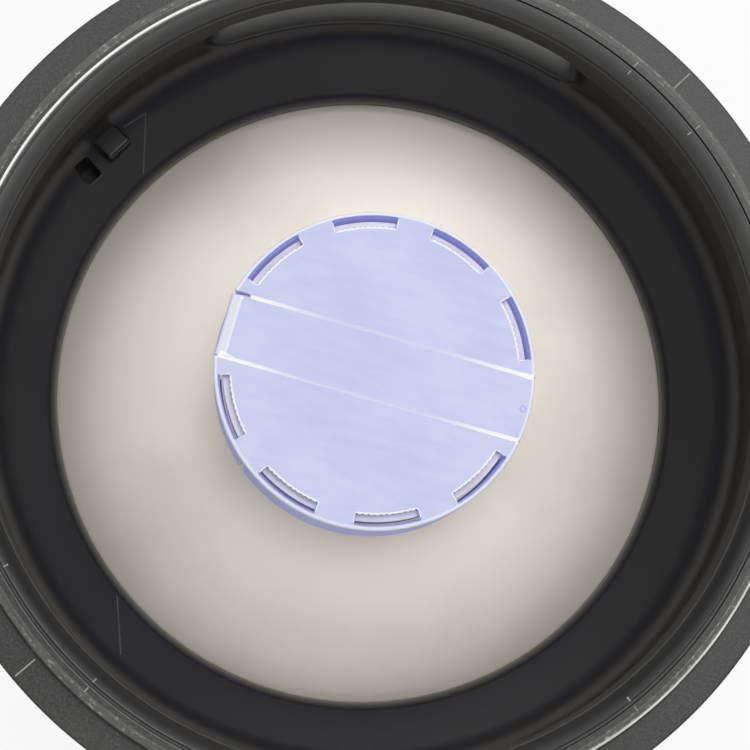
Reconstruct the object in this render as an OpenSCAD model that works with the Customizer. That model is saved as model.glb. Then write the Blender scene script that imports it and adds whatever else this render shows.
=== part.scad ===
// Slim beer keg: a welded steel vessel in black moulded rings, with a sprung fitting under a tear-off cap.
// Millimetres. +Z runs up the keg's axis, the origin is the middle of the foot on the floor, and +Y passes
// through the middle of one hand-hold.

/* [Vessel] */
// Outside diameter of the steel barrel
shell_d = 233; // [200:1:270]
// Length of the barrel between its two heads
barrel_h = 439.6; // [250:0.2:700]
// Thickness of the steel sheet
shell_t = 1.3; // [1:0.1:2]
// Outside crown radius of the dished heads
crown_r = 240; // [210:5:280]
// Outside knuckle radius of the dished heads
knuckle_r = 20; // [16:1:24]
// Height of the bottom dish above the floor
base_gap = 12; // [9:0.5:20]
// Height of the girth weld between the two halves
weld_h = 3; // [2:0.5:5]
// How far the girth weld stands proud of the sheet
weld_crown = 0.5; // [0.2:0.1:1]

/* [Top ring] */
// Thickness of both moulded rings round the barrel
ring_wall = 3.5; // [3:0.25:8]
// Height of the top ring
ring_h = 105; // [95:1:130]
// Height of the crest above the lip where the ring meets the head
crest_rise = 50; // [46:1:60]
// Gap between the rings and the steel
ring_fit = 0.1; // [0.05:0.05:0.3]
// Radius of the rings' outer edges
edge_r = 1.2; // [0.8:0.1:2.4]
// Width of the stacking shoulder round the spigot
shoulder_w = 8.8; // [6:0.2:12]
// Depth of the stacking shoulder below the crest
shoulder_drop = 5; // [4:0.25:8]
// Radius at the top and foot of the spigot wall
spigot_edge = 1.2; // [0.8:0.1:1.6]
// How far the middle of the fine groove in the crest lies in from the spigot's wall
groove_in = 4.5; // [3:0.1:5]
// Width of the groove in the crest
groove_w = 1; // [0.6:0.1:1.4]
// Depth of the groove in the crest
groove_h = 0.8; // [0.4:0.1:1.2]
// Width of the crest, from the spigot's wall in to the grip bead
crest_w = 9.2; // [8:0.2:12]
// Radius of the crest's inner edge
grip_edge = 3.5; // [2:0.25:4]
// Depth at which the grip bead turns under
grip_drop = 12.5; // [10:0.5:14]
// How far the grip bead stands in from the wall below it
grip_hook = 2.5; // [1.5:0.25:4]
// Radius between that wall and the slope down to the lip
bowl_r = 12; // [8:0.5:13]
// Depth at which that radius starts
bowl_drop = 29; // [27:0.5:31]
// Width of the slope from that wall in to the lip on the head
bowl_w = 18.8; // [16:0.2:24]
// Radius of the lip on the head
lip_edge = 4.5; // [3:0.25:5]
// Height of the lip's upright face
lip_face = 0.8; // [0.5:0.1:1.5]
// Length of a hand-hold along its chord
hand_w = 106; // [95:1:115]
// Height of a hand-hold
hand_h = 21; // [20:0.5:24]
// Depth of a hand-hold's upper edge below the crest
hand_drop = 11; // [10:0.25:12]
// Corner radius of a hand-hold
hand_r = 8; // [4:0.5:10]
// Direction of the moulded lug, in degrees from +X
lug_turn = 140.5; // [132:0.5:150]
// Width of the moulded lug
lug_w = 8.5; // [6:0.5:11]
// Height of the moulded lug
lug_h = 5.5; // [5:0.5:8]
// How far the moulded lug stands in from the wall
lug_out = 8.8; // [6:0.2:10]
// Depth of the lug's upper face below the crest
lug_drop = 36; // [33:0.5:37]
// Gap between the lug and the pocket beside it
pocket_gap = 3; // [1:0.5:5]
// Width of that pocket
pocket_w = 6.2; // [4:0.2:9]
// Length of the pocket, from the lug's front out towards the wall
pocket_l = 6.5; // [5:0.5:8]
// How far the floor of the pocket lies below the lug's upper face
pocket_h = 13; // [8:0.5:14]

/* [Foot ring] */
// Height of the foot ring
foot_h = 80; // [70:1:100]
// Width of the foot ring, from its outside in to where it meets the bottom dish
foot_w = 25; // [16:0.5:35]
// Radial clearance of the stacking socket round the spigot
stack_gap = 1.2; // [0.8:0.1:2]
// Clearance over the crest in the stacking socket
stack_lift = 1; // [0.5:0.25:1.5]
// Lead-in chamfer of the stacking socket
stack_lead = 1; // [0.5:0.25:1.5]

/* [Neck] */
// Outside diameter of the neck
neck_d = 62; // [60:0.5:66]
// How far the neck reaches below the top of the head
neck_depth = 8; // [6:0.5:12]
// Radial gap between the neck and its neighbours
neck_fit = 0.1; // [0.05:0.05:0.2]
// Leg of the fillet weld round the neck
weld_leg = 4.5; // [3:0.25:6]
// Thickness of the neck seal
seal_t = 2; // [1:0.25:3]
// Radial clearance of the neck seal round the shank
seal_gap = 0.5; // [0.2:0.1:0.8]
// Radial height of the neck seal
seal_w = 4; // [3:0.25:5]

/* [Fitting] */
// Diameter of the coupler flange
flange_d = 78.6; // [76:0.2:79]
// Thickness of the coupler flange
flange_t = 6; // [5:0.25:7]
// Diameter of the threaded shank
shank_d = 50; // [48:0.5:52]
// How far the shank reaches below the neck
shank_past = 5.2; // [4.5:0.1:8]
// Diameter of the coupler bore
coupler_d = 40; // [36:0.5:40]
// Depth of the coupler bore
coupler_h = 9; // [7:0.5:11]
// Thickness of the valve seat
seat_t = 2; // [1.5:0.25:3]
// Radial gap between the valve seat and the chamber
seat_fit = 0.05; // [0.02:0.01:0.1]
// Opening in the valve seat
seat_d = 30; // [28:0.5:32]
// Diameter of the valve chamber
chamber_d = 41; // [40.5:0.25:42]
// Radial height of the safety ring
safety_w = 3.4; // [3:0.2:4]
// Thickness of the safety ring
safety_t = 2; // [1.5:0.25:2.5]
// How deep the safety ring sits in the shank
safety_bite = 1.4; // [1:0.1:1.8]
// Clearance of the safety ring in its groove
safety_fit = 0.1; // [0.05:0.05:0.2]
// Open angle of the safety ring, in degrees
safety_split = 40; // [20:5:90]
// Length of the spring cage
cage_h = 30; // [28:1:45]
// Thickness of the spring cage's floor
cage_t = 2; // [1.5:0.25:3]
// Number of windows in the spring cage
cage_windows = 4; // [3:1:6]
// Width of a window in the spring cage
window_w = 16; // [8:0.5:18]
// Height of the bands above and below the windows
window_band = 6; // [4:0.5:8]

/* [Valves] */
// Rest gap between the rubber valve and its seat
valve_gap = 0.1; // [0.05:0.05:0.3]
// Diameter of the rubber valve
valve_d = 38.6; // [37:0.2:39]
// Height of the rubber valve
valve_h = 7; // [6:0.5:9]
// Thickness of the carrier's flange
carrier_t = 2; // [1.5:0.25:3]
// Diameter of the beer ball
ball_d = 19; // [18:0.5:20]
// Rest gap between the ball and the rubber or its spring
ball_gap = 0.3; // [0.2:0.05:0.5]
// Diameter of the throat in the rubber that the ball closes
throat_d = 17; // [15:0.5:17]
// Height of that throat
throat_h = 4; // [3:0.25:5]
// Radial clearance of the ball in its housing
ball_fit = 0.6; // [0.4:0.1:1]
// Length of the ball housing
housing_h = 34; // [32:1:40]
// Wall of the ball housing
housing_t = 1.5; // [1:0.25:2]
// Length of the socket that the down tube sits in
socket_h = 8; // [5:0.5:10]
// Outside diameter of the down tube
tube_d = 16; // [14:0.5:17]
// Wall of the down tube
tube_t = 1; // [0.8:0.1:1.5]
// Radial gap between the down tube and its socket
tube_fit = 0.05; // [0.02:0.01:0.1]
// Radial gap between the down tube and the cage's floor
guide_gap = 0.4; // [0.3:0.05:0.8]
// Rest gap between the down tube and the bottom of the vessel
tube_lift = 9; // [8:0.5:15]
// Wire diameter of the gas spring
gas_wire = 2.2; // [1.8:0.1:2.6]
// Middle diameter of the gas spring
gas_coil_d = 32; // [30:0.5:34]
// Turns of the gas spring
gas_turns = 7; // [5:1:9]
// Wire diameter of the ball spring
ball_wire = 1; // [0.8:0.1:1.2]
// Middle diameter of the ball spring
ball_coil_d = 12; // [11:0.5:13]
// Turns of the ball spring
ball_turns = 7; // [5:1:9]
// Gap between a spring and what it presses on
spring_gap = 0.1; // [0.05:0.05:0.3]
// Gap between the nearly closed end turns of a spring
closed_gap = 0.6; // [0.45:0.05:1]
// Thickness of the spring seat
spring_seat_t = 1.2; // [0.8:0.1:2]
// Hole in the spring seat
spring_seat_hole = 9; // [6:0.5:9.5]
// Radial gap between the spring seat and the ball housing
spring_seat_fit = 0.1; // [0.05:0.05:0.3]

/* [Cap] */
// Diameter of the cap
cap_d = 83.4; // [83:0.2:88]
// Thickness of the cap's top
cap_t = 1.6; // [1.2:0.1:2.2]
// Depth of the cap's top below the crest
cap_drop = 1.5; // [0.5:0.25:3]
// Gap between the cap's top and the flange
cap_seat = 0.3; // [0.2:0.05:0.6]
// Radius of the cap's upper edge
cap_edge = 0.9; // [0.5:0.1:1.2]
// Height of the cap's skirt
skirt_h = 20; // [17:0.5:24]
// Thickness of the cap's skirt
skirt_t = 1.5; // [1.2:0.1:1.8]
// Radial clearance of the cap's snap ribs round the flange
snap_gap = 0.4; // [0.3:0.05:0.6]
// Height of a snap rib
snap_h = 2.4; // [1.6:0.2:3]
// Direction of the tear strip's folding end, in degrees from +X
strip_turn = -10.8; // [-90:0.1:90]
// Distance between the two tear lines
strip_w = 17; // [14:0.2:20]
// How far the tear strip lies off the cap's middle
strip_shift = 0.7; // [0:0.1:3]
// Open width of each tear line
tear_gap = 0.5; // [0.4:0.05:0.8]
// Distance of the pull end's outer face from the cap's middle
pull_x = 41.1; // [41:0.05:41.2]
// Thickness of the turned-down pull end
pull_t = 1.3; // [1:0.05:1.4]
// Height of the turned-down pull end
pull_h = 8; // [5:0.5:10]
// Room round the pull end in the skirt
pull_gap = 1.2; // [0.8:0.1:2]
// Slots in each half of the cap's top
slots_per_half = 4; // [2:1:5]
// Angle that a slot spans, in degrees
slot_deg = 25; // [15:1:28]
// Radial width of a slot
slot_w = 3.3; // [2:0.1:4]
// Width of the rim outside a slot
slot_rim = 1.1; // [1:0.05:1.35]
// Width of the slits in the skirt
slit_w = 1.8; // [1:0.1:3]
// How far the slits stop below the cap's top
slit_top = 2.5; // [2:0.25:5]

/* [Hidden] */
$fn = 96;

steel = "#c9c6be";
bright_steel = "#b8bcc0";
black = "#2b2b2a";
rubber = "#1d1d1e";
lavender = "#cbd0ee";

// Small overshoot of a cut past the face that it opens
past = 1;
// Chords in a quarter or so of a drawn arc
arc_steps = 6;
// Chords in the crown and in the knuckle of a head
head_steps = 8;

// Radii
shell_r = shell_d / 2;
ring_r = shell_r + ring_wall;
spigot_r = ring_r - shoulder_w;
groove_r = spigot_r - groove_in;
grip_r = spigot_r - crest_w;
wall_r = grip_r + grip_hook;
lip_r = wall_r - bowl_w;
socket_r = spigot_r + stack_gap;
foot_lip_r = ring_r - foot_w;
neck_r = neck_d / 2;
flange_r = flange_d / 2;
shank_r = shank_d / 2;
coupler_r = coupler_d / 2;
seat_r = seat_d / 2;
chamber_r = chamber_d / 2;
valve_r = valve_d / 2;
ball_r = ball_d / 2;
throat_r = throat_d / 2;
housing_r = ball_r + ball_fit;
tube_r = tube_d / 2;
gas_coil_r = gas_coil_d / 2;
ball_coil_r = ball_coil_d / 2;
cap_r = cap_d / 2;
skirt_in = cap_r - skirt_t;

// Points on an arc about (x, z), from one angle to another
function arc(x, z, r, from, to) =
    [for (i = [0 : arc_steps]) let (a = from + (to - from) * i / arc_steps) [x + r * cos(a), z + r * sin(a)]];

function reversed(points) = [for (i = [len(points) - 1 : -1 : 0]) points[i]];
function lifted(points, z) = [for (p = points) [p[0], p[1] + z]];
function flipped(points, z) = [for (p = points) [p[0], z - p[1]]];
function total(list) = list * [for (x = list) 1];

// Volume inside a turned outline that runs from one end to the other
function turned_volume(p) = total([
    for (i = [0 : len(p) - 2])
        PI / 3 * abs(p[i][1] - p[i + 1][1]) * (p[i][0] ^ 2 + p[i][0] * p[i + 1][0] + p[i + 1][0] ^ 2)
]);

// Dished heads: a crown arc that runs into a knuckle arc, measured up from the end of the barrel
knuckle_x = shell_r - knuckle_r;
head_h = crown_r - sqrt((crown_r - knuckle_r) ^ 2 - knuckle_x ^ 2);
crown_turn = asin(knuckle_x / (crown_r - knuckle_r));

// Outline of a head moved out by off, from radius r0 on the crown to the barrel
function head_curve(off, r0) =
    let (r = crown_r + off, k = knuckle_r + off, a0 = asin(r0 / r))
    concat(
        [for (i = [0 : head_steps - 1])
            let (a = a0 + (crown_turn - a0) * i / head_steps) [r * sin(a), head_h - crown_r + r * cos(a)]],
        [for (i = [0 : head_steps])
            let (a = crown_turn + (90 - crown_turn) * i / head_steps) [knuckle_x + k * sin(a), k * cos(a)]]
    );

// Heights of the vessel, and the volume that it encloses
bore_r = shell_r - shell_t;
vessel_mm3 = PI * bore_r ^ 2 * barrel_h + 2 * turned_volume(head_curve(-shell_t, 0));
low_z = base_gap + head_h;
high_z = low_z + barrel_h;
girth_z = low_z + barrel_h / 2;
crown_z = high_z + head_h;
function head_z(r) = crown_z - crown_r + sqrt(crown_r ^ 2 - r ^ 2);

// Heights of the ring, the neck, the fitting and the cap
crest_z = head_z(lip_r) + crest_rise;
cap_z = crest_z - cap_drop;
flange_z = cap_z - cap_t - cap_seat;
flange_low = flange_z - flange_t;
neck_top = flange_low - seal_t;
neck_low = crown_z - neck_depth;
shank_low = neck_low - shank_past;
seat_z = flange_z - coupler_h;
cage_low = shank_low - cage_h;

// Heights of the moving valves at rest
valve_z = seat_z - seat_t - valve_gap;
carrier_z = valve_z - valve_h;
housing_z = carrier_z - housing_h;
stop_z = housing_z - housing_t;
throat_z = valve_z - throat_h;
ball_z = throat_z - sqrt((ball_r + ball_gap) ^ 2 - throat_r ^ 2);
tube_low = base_gap + shell_t + tube_lift;

module turned(points) {
    rotate_extrude()
        polygon(points);
}

module turned_part(points, from, angle) {
    rotate([0, 0, from])
        rotate_extrude(angle = angle)
            polygon(points);
}

module upper_shell() {
    hole_r = neck_r + neck_fit;
    weld_top = girth_z + weld_h / 2;
    color(steel)
        turned(concat(
            lifted(head_curve(0, hole_r), high_z),
            [[shell_r, weld_top], [bore_r, weld_top]],
            reversed(lifted(head_curve(-shell_t, hole_r), high_z))
        ));
}

module lower_shell() {
    weld_low = girth_z - weld_h / 2;
    echo(vessel_mm3 = vessel_mm3);
    color(steel)
        turned(concat(
            flipped(head_curve(0, 0), low_z),
            [[shell_r, weld_low], [bore_r, weld_low]],
            reversed(flipped(head_curve(-shell_t, 0), low_z))
        ));
}

module girth_weld() {
    half = weld_h / 2;
    out = shell_r + weld_crown;
    inside = bore_r - weld_crown;
    color(bright_steel)
        translate([0, 0, girth_z])
            turned([
                [bore_r, -half], [shell_r, -half], [out, -half / 2], [out, half / 2],
                [shell_r, half], [bore_r, half], [inside, half / 2], [inside, -half / 2]
            ]);
}

module neck_boss() {
    color(bright_steel)
        translate([0, 0, neck_low])
            difference() {
                cylinder(r = neck_r, h = neck_top - neck_low);
                translate([0, 0, -past])
                    cylinder(r = shank_r + neck_fit, h = neck_top - neck_low + 2 * past);
            }
}

module neck_weld() {
    inner = neck_r + neck_fit / 2;
    outer = neck_r + weld_leg;
    color(bright_steel)
        turned([
            [inner, head_z(inner) + neck_fit], [outer, head_z(outer) + neck_fit],
            [inner, head_z(inner) + weld_leg]
        ]);
}

// Section of the top ring below its crest, which lies at height 0
function ring_section() =
    let (
        head = lifted(head_curve(ring_fit, lip_r), high_z - crest_z),
        bowl = [wall_r - bowl_r, -bowl_drop],
        lip = [lip_r + lip_edge, head[0][1] + lip_face],
        way = lip - bowl,
        slope = atan2(way[1], way[0]) + acos((bowl_r + lip_edge) / norm(way))
    )
    concat(
        [[shell_r + ring_fit, -ring_h]],
        arc(ring_r - edge_r, -ring_h + edge_r, edge_r, -90, 0),
        arc(ring_r - edge_r, -shoulder_drop - edge_r, edge_r, 0, 90),
        arc(spigot_r + spigot_edge, -shoulder_drop + spigot_edge, spigot_edge, 270, 180),
        arc(spigot_r - spigot_edge, -spigot_edge, spigot_edge, 0, 90),
        [[groove_r + groove_w / 2, 0], [groove_r + groove_w / 2, -groove_h]],
        [[groove_r - groove_w / 2, -groove_h], [groove_r - groove_w / 2, 0]],
        arc(grip_r + grip_edge, -grip_edge, grip_edge, 90, 180),
        arc(wall_r, -grip_drop, wall_r - grip_r, 180, 270),
        arc(bowl[0], bowl[1], bowl_r, 0, slope),
        arc(lip[0], lip[1], lip_edge, slope + 180, 180),
        head
    );

function round_rectangle(w, h, r) = concat(
    arc(w / 2 - r, h / 2 - r, r, 0, 90),
    arc(r - w / 2, h / 2 - r, r, 90, 180),
    arc(r - w / 2, r - h / 2, r, 180, 270),
    arc(w / 2 - r, r - h / 2, r, 270, 360)
);

// Hand-hold through the ring on its +Y side
module hand_hold() {
    translate([0, ring_r + past, -hand_drop - hand_h / 2])
        rotate([90, 0, 0])
            linear_extrude(ring_r + past - lip_r)
                polygon(round_rectangle(hand_w, hand_h, hand_r));
}

// Moulded lug on the ring's inner wall, towards +X
module lug() {
    translate([wall_r - lug_out, -lug_w / 2, -lug_drop - lug_h])
        cube([lug_out + past, lug_w, lug_h]);
}

// Deep pocket in the slope beside the lug
module lug_pocket() {
    translate([wall_r - lug_out, lug_w / 2 + pocket_gap, -lug_drop - pocket_h])
        cube([pocket_l, pocket_w, pocket_h]);
}

module top_ring() {
    color(black)
        translate([0, 0, crest_z])
            difference() {
                union() {
                    turned(ring_section());
                    rotate([0, 0, lug_turn])
                        lug();
                }
                for (side = [0, 180])
                    rotate([0, 0, side])
                        hand_hold();
                rotate([0, 0, lug_turn])
                    lug_pocket();
            }
}

module foot_ring() {
    ceiling = shoulder_drop + stack_lift;
    dish = reversed(flipped(head_curve(ring_fit, foot_lip_r), low_z));
    color(black)
        turned(concat(
            [[socket_r + stack_lead, 0]],
            arc(ring_r - edge_r, edge_r, edge_r, -90, 0),
            arc(ring_r - edge_r, foot_h - edge_r, edge_r, 0, 90),
            [[shell_r + ring_fit, foot_h]],
            dish,
            [[foot_lip_r, ceiling], [socket_r, ceiling], [socket_r, stack_lead]]
        ));
}

module fitting_body() {
    groove_low = neck_low - safety_t - 2 * safety_fit;
    groove_in = shank_r - safety_bite - safety_fit;
    color(bright_steel)
        turned([
            [coupler_r, flange_z], [flange_r, flange_z], [flange_r, flange_low], [shank_r, flange_low],
            [shank_r, neck_low], [groove_in, neck_low], [groove_in, groove_low], [shank_r, groove_low],
            [shank_r, shank_low], [chamber_r, shank_low], [chamber_r, seat_z], [coupler_r, seat_z]
        ]);
}

module valve_seat() {
    color(bright_steel)
        translate([0, 0, seat_z - seat_t])
            difference() {
                cylinder(r = chamber_r - seat_fit, h = seat_t);
                translate([0, 0, -past])
                    cylinder(r = seat_r, h = seat_t + 2 * past);
            }
}

module neck_seal() {
    inner = shank_r + seal_gap;
    color(rubber)
        translate([0, 0, neck_top])
            difference() {
                cylinder(r = inner + seal_w, h = seal_t);
                translate([0, 0, -past])
                    cylinder(r = inner, h = seal_t + 2 * past);
            }
}

module safety_ring() {
    inner = shank_r - safety_bite;
    top = neck_low - safety_fit;
    color(bright_steel)
        turned_part([
            [inner, top - safety_t], [inner + safety_w, top - safety_t], [inner + safety_w, top], [inner, top]
        ], 0, 360 - safety_split);
}

module spring_cage() {
    guide_r = tube_r + guide_gap;
    floor_z = cage_low + cage_t;
    color(bright_steel)
        difference() {
            turned([
                [chamber_r, shank_low], [shank_r, shank_low], [shank_r, cage_low], [guide_r, cage_low],
                [guide_r, floor_z], [chamber_r, floor_z]
            ]);
            for (i = [0 : cage_windows - 1])
                rotate([0, 0, i * 360 / cage_windows])
                    translate([tube_r, -window_w / 2, floor_z + window_band])
                        cube([shank_r, window_w, cage_h - cage_t - 2 * window_band]);
        }
}

module gas_seal() {
    color(rubber)
        turned([
            [throat_r, valve_z], [valve_r, valve_z], [valve_r, carrier_z], [housing_r, carrier_z],
            [throat_r, throat_z]
        ]);
}

module seal_carrier() {
    housing_out = housing_r + housing_t;
    socket_in = tube_r + tube_fit;
    socket_out = socket_in + housing_t;
    socket_low = stop_z - socket_h;
    tube_in = tube_r - tube_t;
    under = carrier_z - carrier_t;
    color(bright_steel)
        turned([
            [housing_r, carrier_z], [valve_r, carrier_z], [valve_r, under], [housing_out, under],
            [housing_out, stop_z], [socket_out, stop_z], [socket_out, socket_low], [socket_in, socket_low],
            [socket_in, stop_z], [tube_in, stop_z], [tube_in, housing_z], [housing_r, housing_z]
        ]);
}

module down_tube() {
    color(bright_steel)
        translate([0, 0, tube_low])
            difference() {
                cylinder(r = tube_r, h = stop_z - tube_low);
                translate([0, 0, -past])
                    cylinder(r = tube_r - tube_t, h = stop_z - tube_low + 2 * past);
            }
}

// Springs: a round wire swept along a helix whose first and last turns lie nearly closed
wire_sides = 6;
turn_rings = 8;

// Height of a spring's middle line after t turns of n
function spring_z(t, n, wire, span) =
    let (closed = wire + closed_gap, open = (span - 2 * closed) / (n - 2))
    t < 1 ? t * closed : t > n - 1 ? span - (n - t) * closed : closed + (t - 1) * open;

function spring_points(r, n, wire, span) = [
    for (i = [0 : n * turn_rings])
        let (t = i / turn_rings)
        for (s = [0 : wire_sides - 1])
            let (a = 360 * s / wire_sides, out = r + wire / 2 * cos(a))
            [out * cos(360 * t), out * sin(360 * t), spring_z(t, n, wire, span) + wire / 2 * sin(a)]
];

function spring_faces(n) =
    let (last = n * turn_rings)
    concat(
        [for (i = [0 : last - 1]) for (s = [0 : wire_sides - 1])
            let (a = i * wire_sides + s, b = i * wire_sides + (s + 1) % wire_sides)
            [a, a + wire_sides, b]],
        [for (i = [0 : last - 1]) for (s = [0 : wire_sides - 1])
            let (a = i * wire_sides + s, b = i * wire_sides + (s + 1) % wire_sides)
            [b, a + wire_sides, b + wire_sides]],
        [for (s = [1 : wire_sides - 2]) [0, s, s + 1]],
        [for (s = [1 : wire_sides - 2])
            [last * wire_sides, last * wire_sides + s + 1, last * wire_sides + s]]
    );

module spring(r, n, wire, span) {
    least = min([for (i = [0 : (n - 1) * turn_rings])
        let (t = i / turn_rings) spring_z(t + 1, n, wire, span) - spring_z(t, n, wire, span) - wire]);
    echo(least_gap_between_turns = least);
    polyhedron(spring_points(r, n, wire, span), spring_faces(n), convexity = 10);
}

module gas_spring() {
    low = cage_low + cage_t + spring_gap + gas_wire / 2;
    high = carrier_z - carrier_t - spring_gap - gas_wire / 2;
    color(bright_steel)
        translate([0, 0, low])
            spring(gas_coil_r, gas_turns, gas_wire, high - low);
}

module ball_spring() {
    reach = ball_r + ball_gap + ball_wire / 2;
    low = housing_z + spring_seat_t + spring_gap + ball_wire / 2;
    high = ball_z - sqrt(reach ^ 2 - ball_coil_r ^ 2);
    color(bright_steel)
        translate([0, 0, low])
            spring(ball_coil_r, ball_turns, ball_wire, high - low);
}

module spring_seat() {
    color(bright_steel)
        translate([0, 0, housing_z])
            difference() {
                cylinder(r = housing_r - spring_seat_fit, h = spring_seat_t);
                translate([0, 0, -past])
                    cylinder(d = spring_seat_hole, h = spring_seat_t + 2 * past);
            }
}

module beer_ball() {
    color(bright_steel)
        translate([0, 0, ball_z])
            sphere(r = ball_r);
}

// Cap, drawn with the tear strip along X, its folding end at +X and its top face at height 0
strip_low = strip_shift - strip_w / 2;
strip_high = strip_shift + strip_w / 2;

// Directions of the slots: each half of the rim beside the strip is shared out evenly
function slot_turns(side) =
    let (edge = asin((side > 0 ? strip_high : -strip_low) / cap_r), share = (180 - 2 * edge) / slots_per_half)
    [for (i = [0 : slots_per_half - 1]) side * (edge + share * (i + 0.5))];

// Direction midway between the two slots nearest to the pull end
function slit_turn(side) =
    let (turns = slot_turns(side))
    (turns[slots_per_half - 1] + turns[slots_per_half - 2]) / 2;

module cap_slots(points) {
    for (side = [1, -1])
        for (turn = slot_turns(side))
            turned_part(points, turn - slot_deg / 2, slot_deg);
}

module cap_shell() {
    snap_top = flange_low - cap_z - snap_gap;
    snap_r = flange_r + snap_gap;
    slot_out = cap_r - slot_rim;
    color(lavender)
        translate([0, 0, cap_z])
            rotate([0, 0, strip_turn])
                difference() {
                    union() {
                        turned(concat(
                            [[0, -cap_t], [skirt_in, -cap_t], [skirt_in, -skirt_h], [cap_r, -skirt_h]],
                            arc(cap_r - cap_edge, -cap_edge, cap_edge, 0, 90),
                            [[0, 0]]
                        ));
                        cap_slots([
                            [snap_r, snap_top - snap_h / 2], [skirt_in + skirt_t / 2, snap_top - snap_h],
                            [skirt_in + skirt_t / 2, snap_top]
                        ]);
                    }
                    cap_slots([
                        [slot_out - slot_w, -cap_t - cap_seat], [slot_out, -cap_t - cap_seat],
                        [slot_out, past], [slot_out - slot_w, past]
                    ]);
                    translate([-cap_r - past, strip_low - tear_gap / 2, -cap_t - tear_gap])
                        cube([2 * cap_r + 2 * past, strip_w + tear_gap, cap_t + tear_gap + past]);
                    translate([-cap_r - past, strip_low - pull_gap, -pull_h - pull_gap])
                        cube([cap_r / 2, strip_w + 2 * pull_gap, pull_h + pull_gap - cap_t - tear_gap / 2]);
                    for (side = [1, -1])
                        rotate([0, 0, slit_turn(side)])
                            translate([skirt_in - past, -slit_w / 2, -skirt_h - past])
                                cube([skirt_t + 2 * past, slit_w, skirt_h + past - slit_top]);
                }
}

module tear_strip() {
    width = strip_w - tear_gap;
    color(lavender)
        translate([0, 0, cap_z])
            rotate([0, 0, strip_turn])
                intersection() {
                    union() {
                        translate([-pull_x, strip_low + tear_gap / 2, -cap_t])
                            cube([pull_x + cap_r, width, cap_t]);
                        translate([-pull_x, strip_low + tear_gap / 2, -pull_h])
                            cube([pull_t, width, pull_h]);
                    }
                    translate([0, 0, -skirt_h])
                        cylinder(r = cap_r, h = skirt_h);
                }
}

upper_shell();
lower_shell();
girth_weld();
neck_boss();
neck_weld();
top_ring();
foot_ring();
fitting_body();
valve_seat();
neck_seal();
safety_ring();
spring_cage();
gas_spring();
gas_seal();
seal_carrier();
down_tube();
ball_spring();
spring_seat();
beer_ball();
cap_shell();
tear_strip();
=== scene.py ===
"""Slim beer keg: visible pieces and finishes, built round the packed model."""

import math
import random

import bmesh
import bpy
from bpy.props import FloatProperty, FloatVectorProperty, IntProperty, PointerProperty
from mathutils import Matrix, Vector
from mathutils.geometry import delaunay_2d_cdt


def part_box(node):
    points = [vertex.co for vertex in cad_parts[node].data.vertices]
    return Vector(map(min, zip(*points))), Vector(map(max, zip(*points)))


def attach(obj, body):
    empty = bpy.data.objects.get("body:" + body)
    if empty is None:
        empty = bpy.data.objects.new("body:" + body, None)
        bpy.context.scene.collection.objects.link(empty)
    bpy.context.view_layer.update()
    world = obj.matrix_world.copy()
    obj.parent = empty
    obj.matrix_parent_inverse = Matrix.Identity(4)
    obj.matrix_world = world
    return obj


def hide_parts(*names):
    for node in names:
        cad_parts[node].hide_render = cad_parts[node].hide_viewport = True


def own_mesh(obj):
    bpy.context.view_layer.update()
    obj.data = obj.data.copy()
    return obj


bl_info = {
    "name": "Slim beer keg",
    "version": (1, 0, 0),
    "blender": (4, 5, 0),
    "location": "View3D > Sidebar > Keg",
    "description": "Builds the visible pieces of a slim beer keg round its packed model",
    "category": "Add Mesh",
}

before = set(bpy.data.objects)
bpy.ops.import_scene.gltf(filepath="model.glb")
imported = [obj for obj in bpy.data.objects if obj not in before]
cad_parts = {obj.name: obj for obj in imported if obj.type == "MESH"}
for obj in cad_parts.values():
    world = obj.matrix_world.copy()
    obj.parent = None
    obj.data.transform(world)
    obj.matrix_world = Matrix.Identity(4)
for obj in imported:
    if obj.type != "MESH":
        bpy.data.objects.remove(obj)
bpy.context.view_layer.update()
MM = 0.001
SEED = 7


# Properties


def length(name, text, millimetres):
    return FloatProperty(name=name, description=text, default=millimetres * MM, unit="LENGTH", precision=5)


def angle(name, text, degrees):
    return FloatProperty(name=name, description=text, default=math.radians(degrees), subtype="ANGLE")


def amount(name, text, value, unit="NONE"):
    return FloatProperty(name=name, description=text, default=value, unit=unit)


def whole(name, text, number):
    return IntProperty(name=name, description=text, default=number)


def linear(code):
    """Linear colour of a six-digit sRGB code."""
    parts = [int(code[i:i + 2], 16) / 255 for i in (0, 2, 4)]
    return tuple(c / 12.92 if c <= 0.04045 else ((c + 0.055) / 1.055) ** 2.4 for c in parts)


def colour(name, text, code):
    return FloatVectorProperty(name=name, description=text, default=linear(code), subtype="COLOR",
                               min=0, max=1)


class VesselSizes(bpy.types.PropertyGroup):
    """Sizes of the welded steel vessel."""

    radius: length("Radius", "Outside radius of the barrel", 116.5)
    barrel: length("Barrel", "Length of the barrel between its heads", 439.6)
    base_z: length("Base", "Height of the bottom dish above the floor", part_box("lower_shell")[0].z / MM)
    sheet: length("Sheet", "Thickness of the steel sheet", 1.3)
    crown_r: length("Crown radius", "Outside crown radius of the heads", 240)
    knuckle_r: length("Knuckle radius", "Outside knuckle radius of the heads", 20)
    neck_hole: length("Neck hole", "Radius of the hole for the neck", 31.1)
    weld_h: length("Weld height", "Height of the girth weld", 3)
    weld_crown: length("Weld crown", "How far the girth weld stands proud", 0.5)
    weld_ripple: length("Weld ripple", "Depth of the ripples in the girth weld", 0.12)


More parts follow.
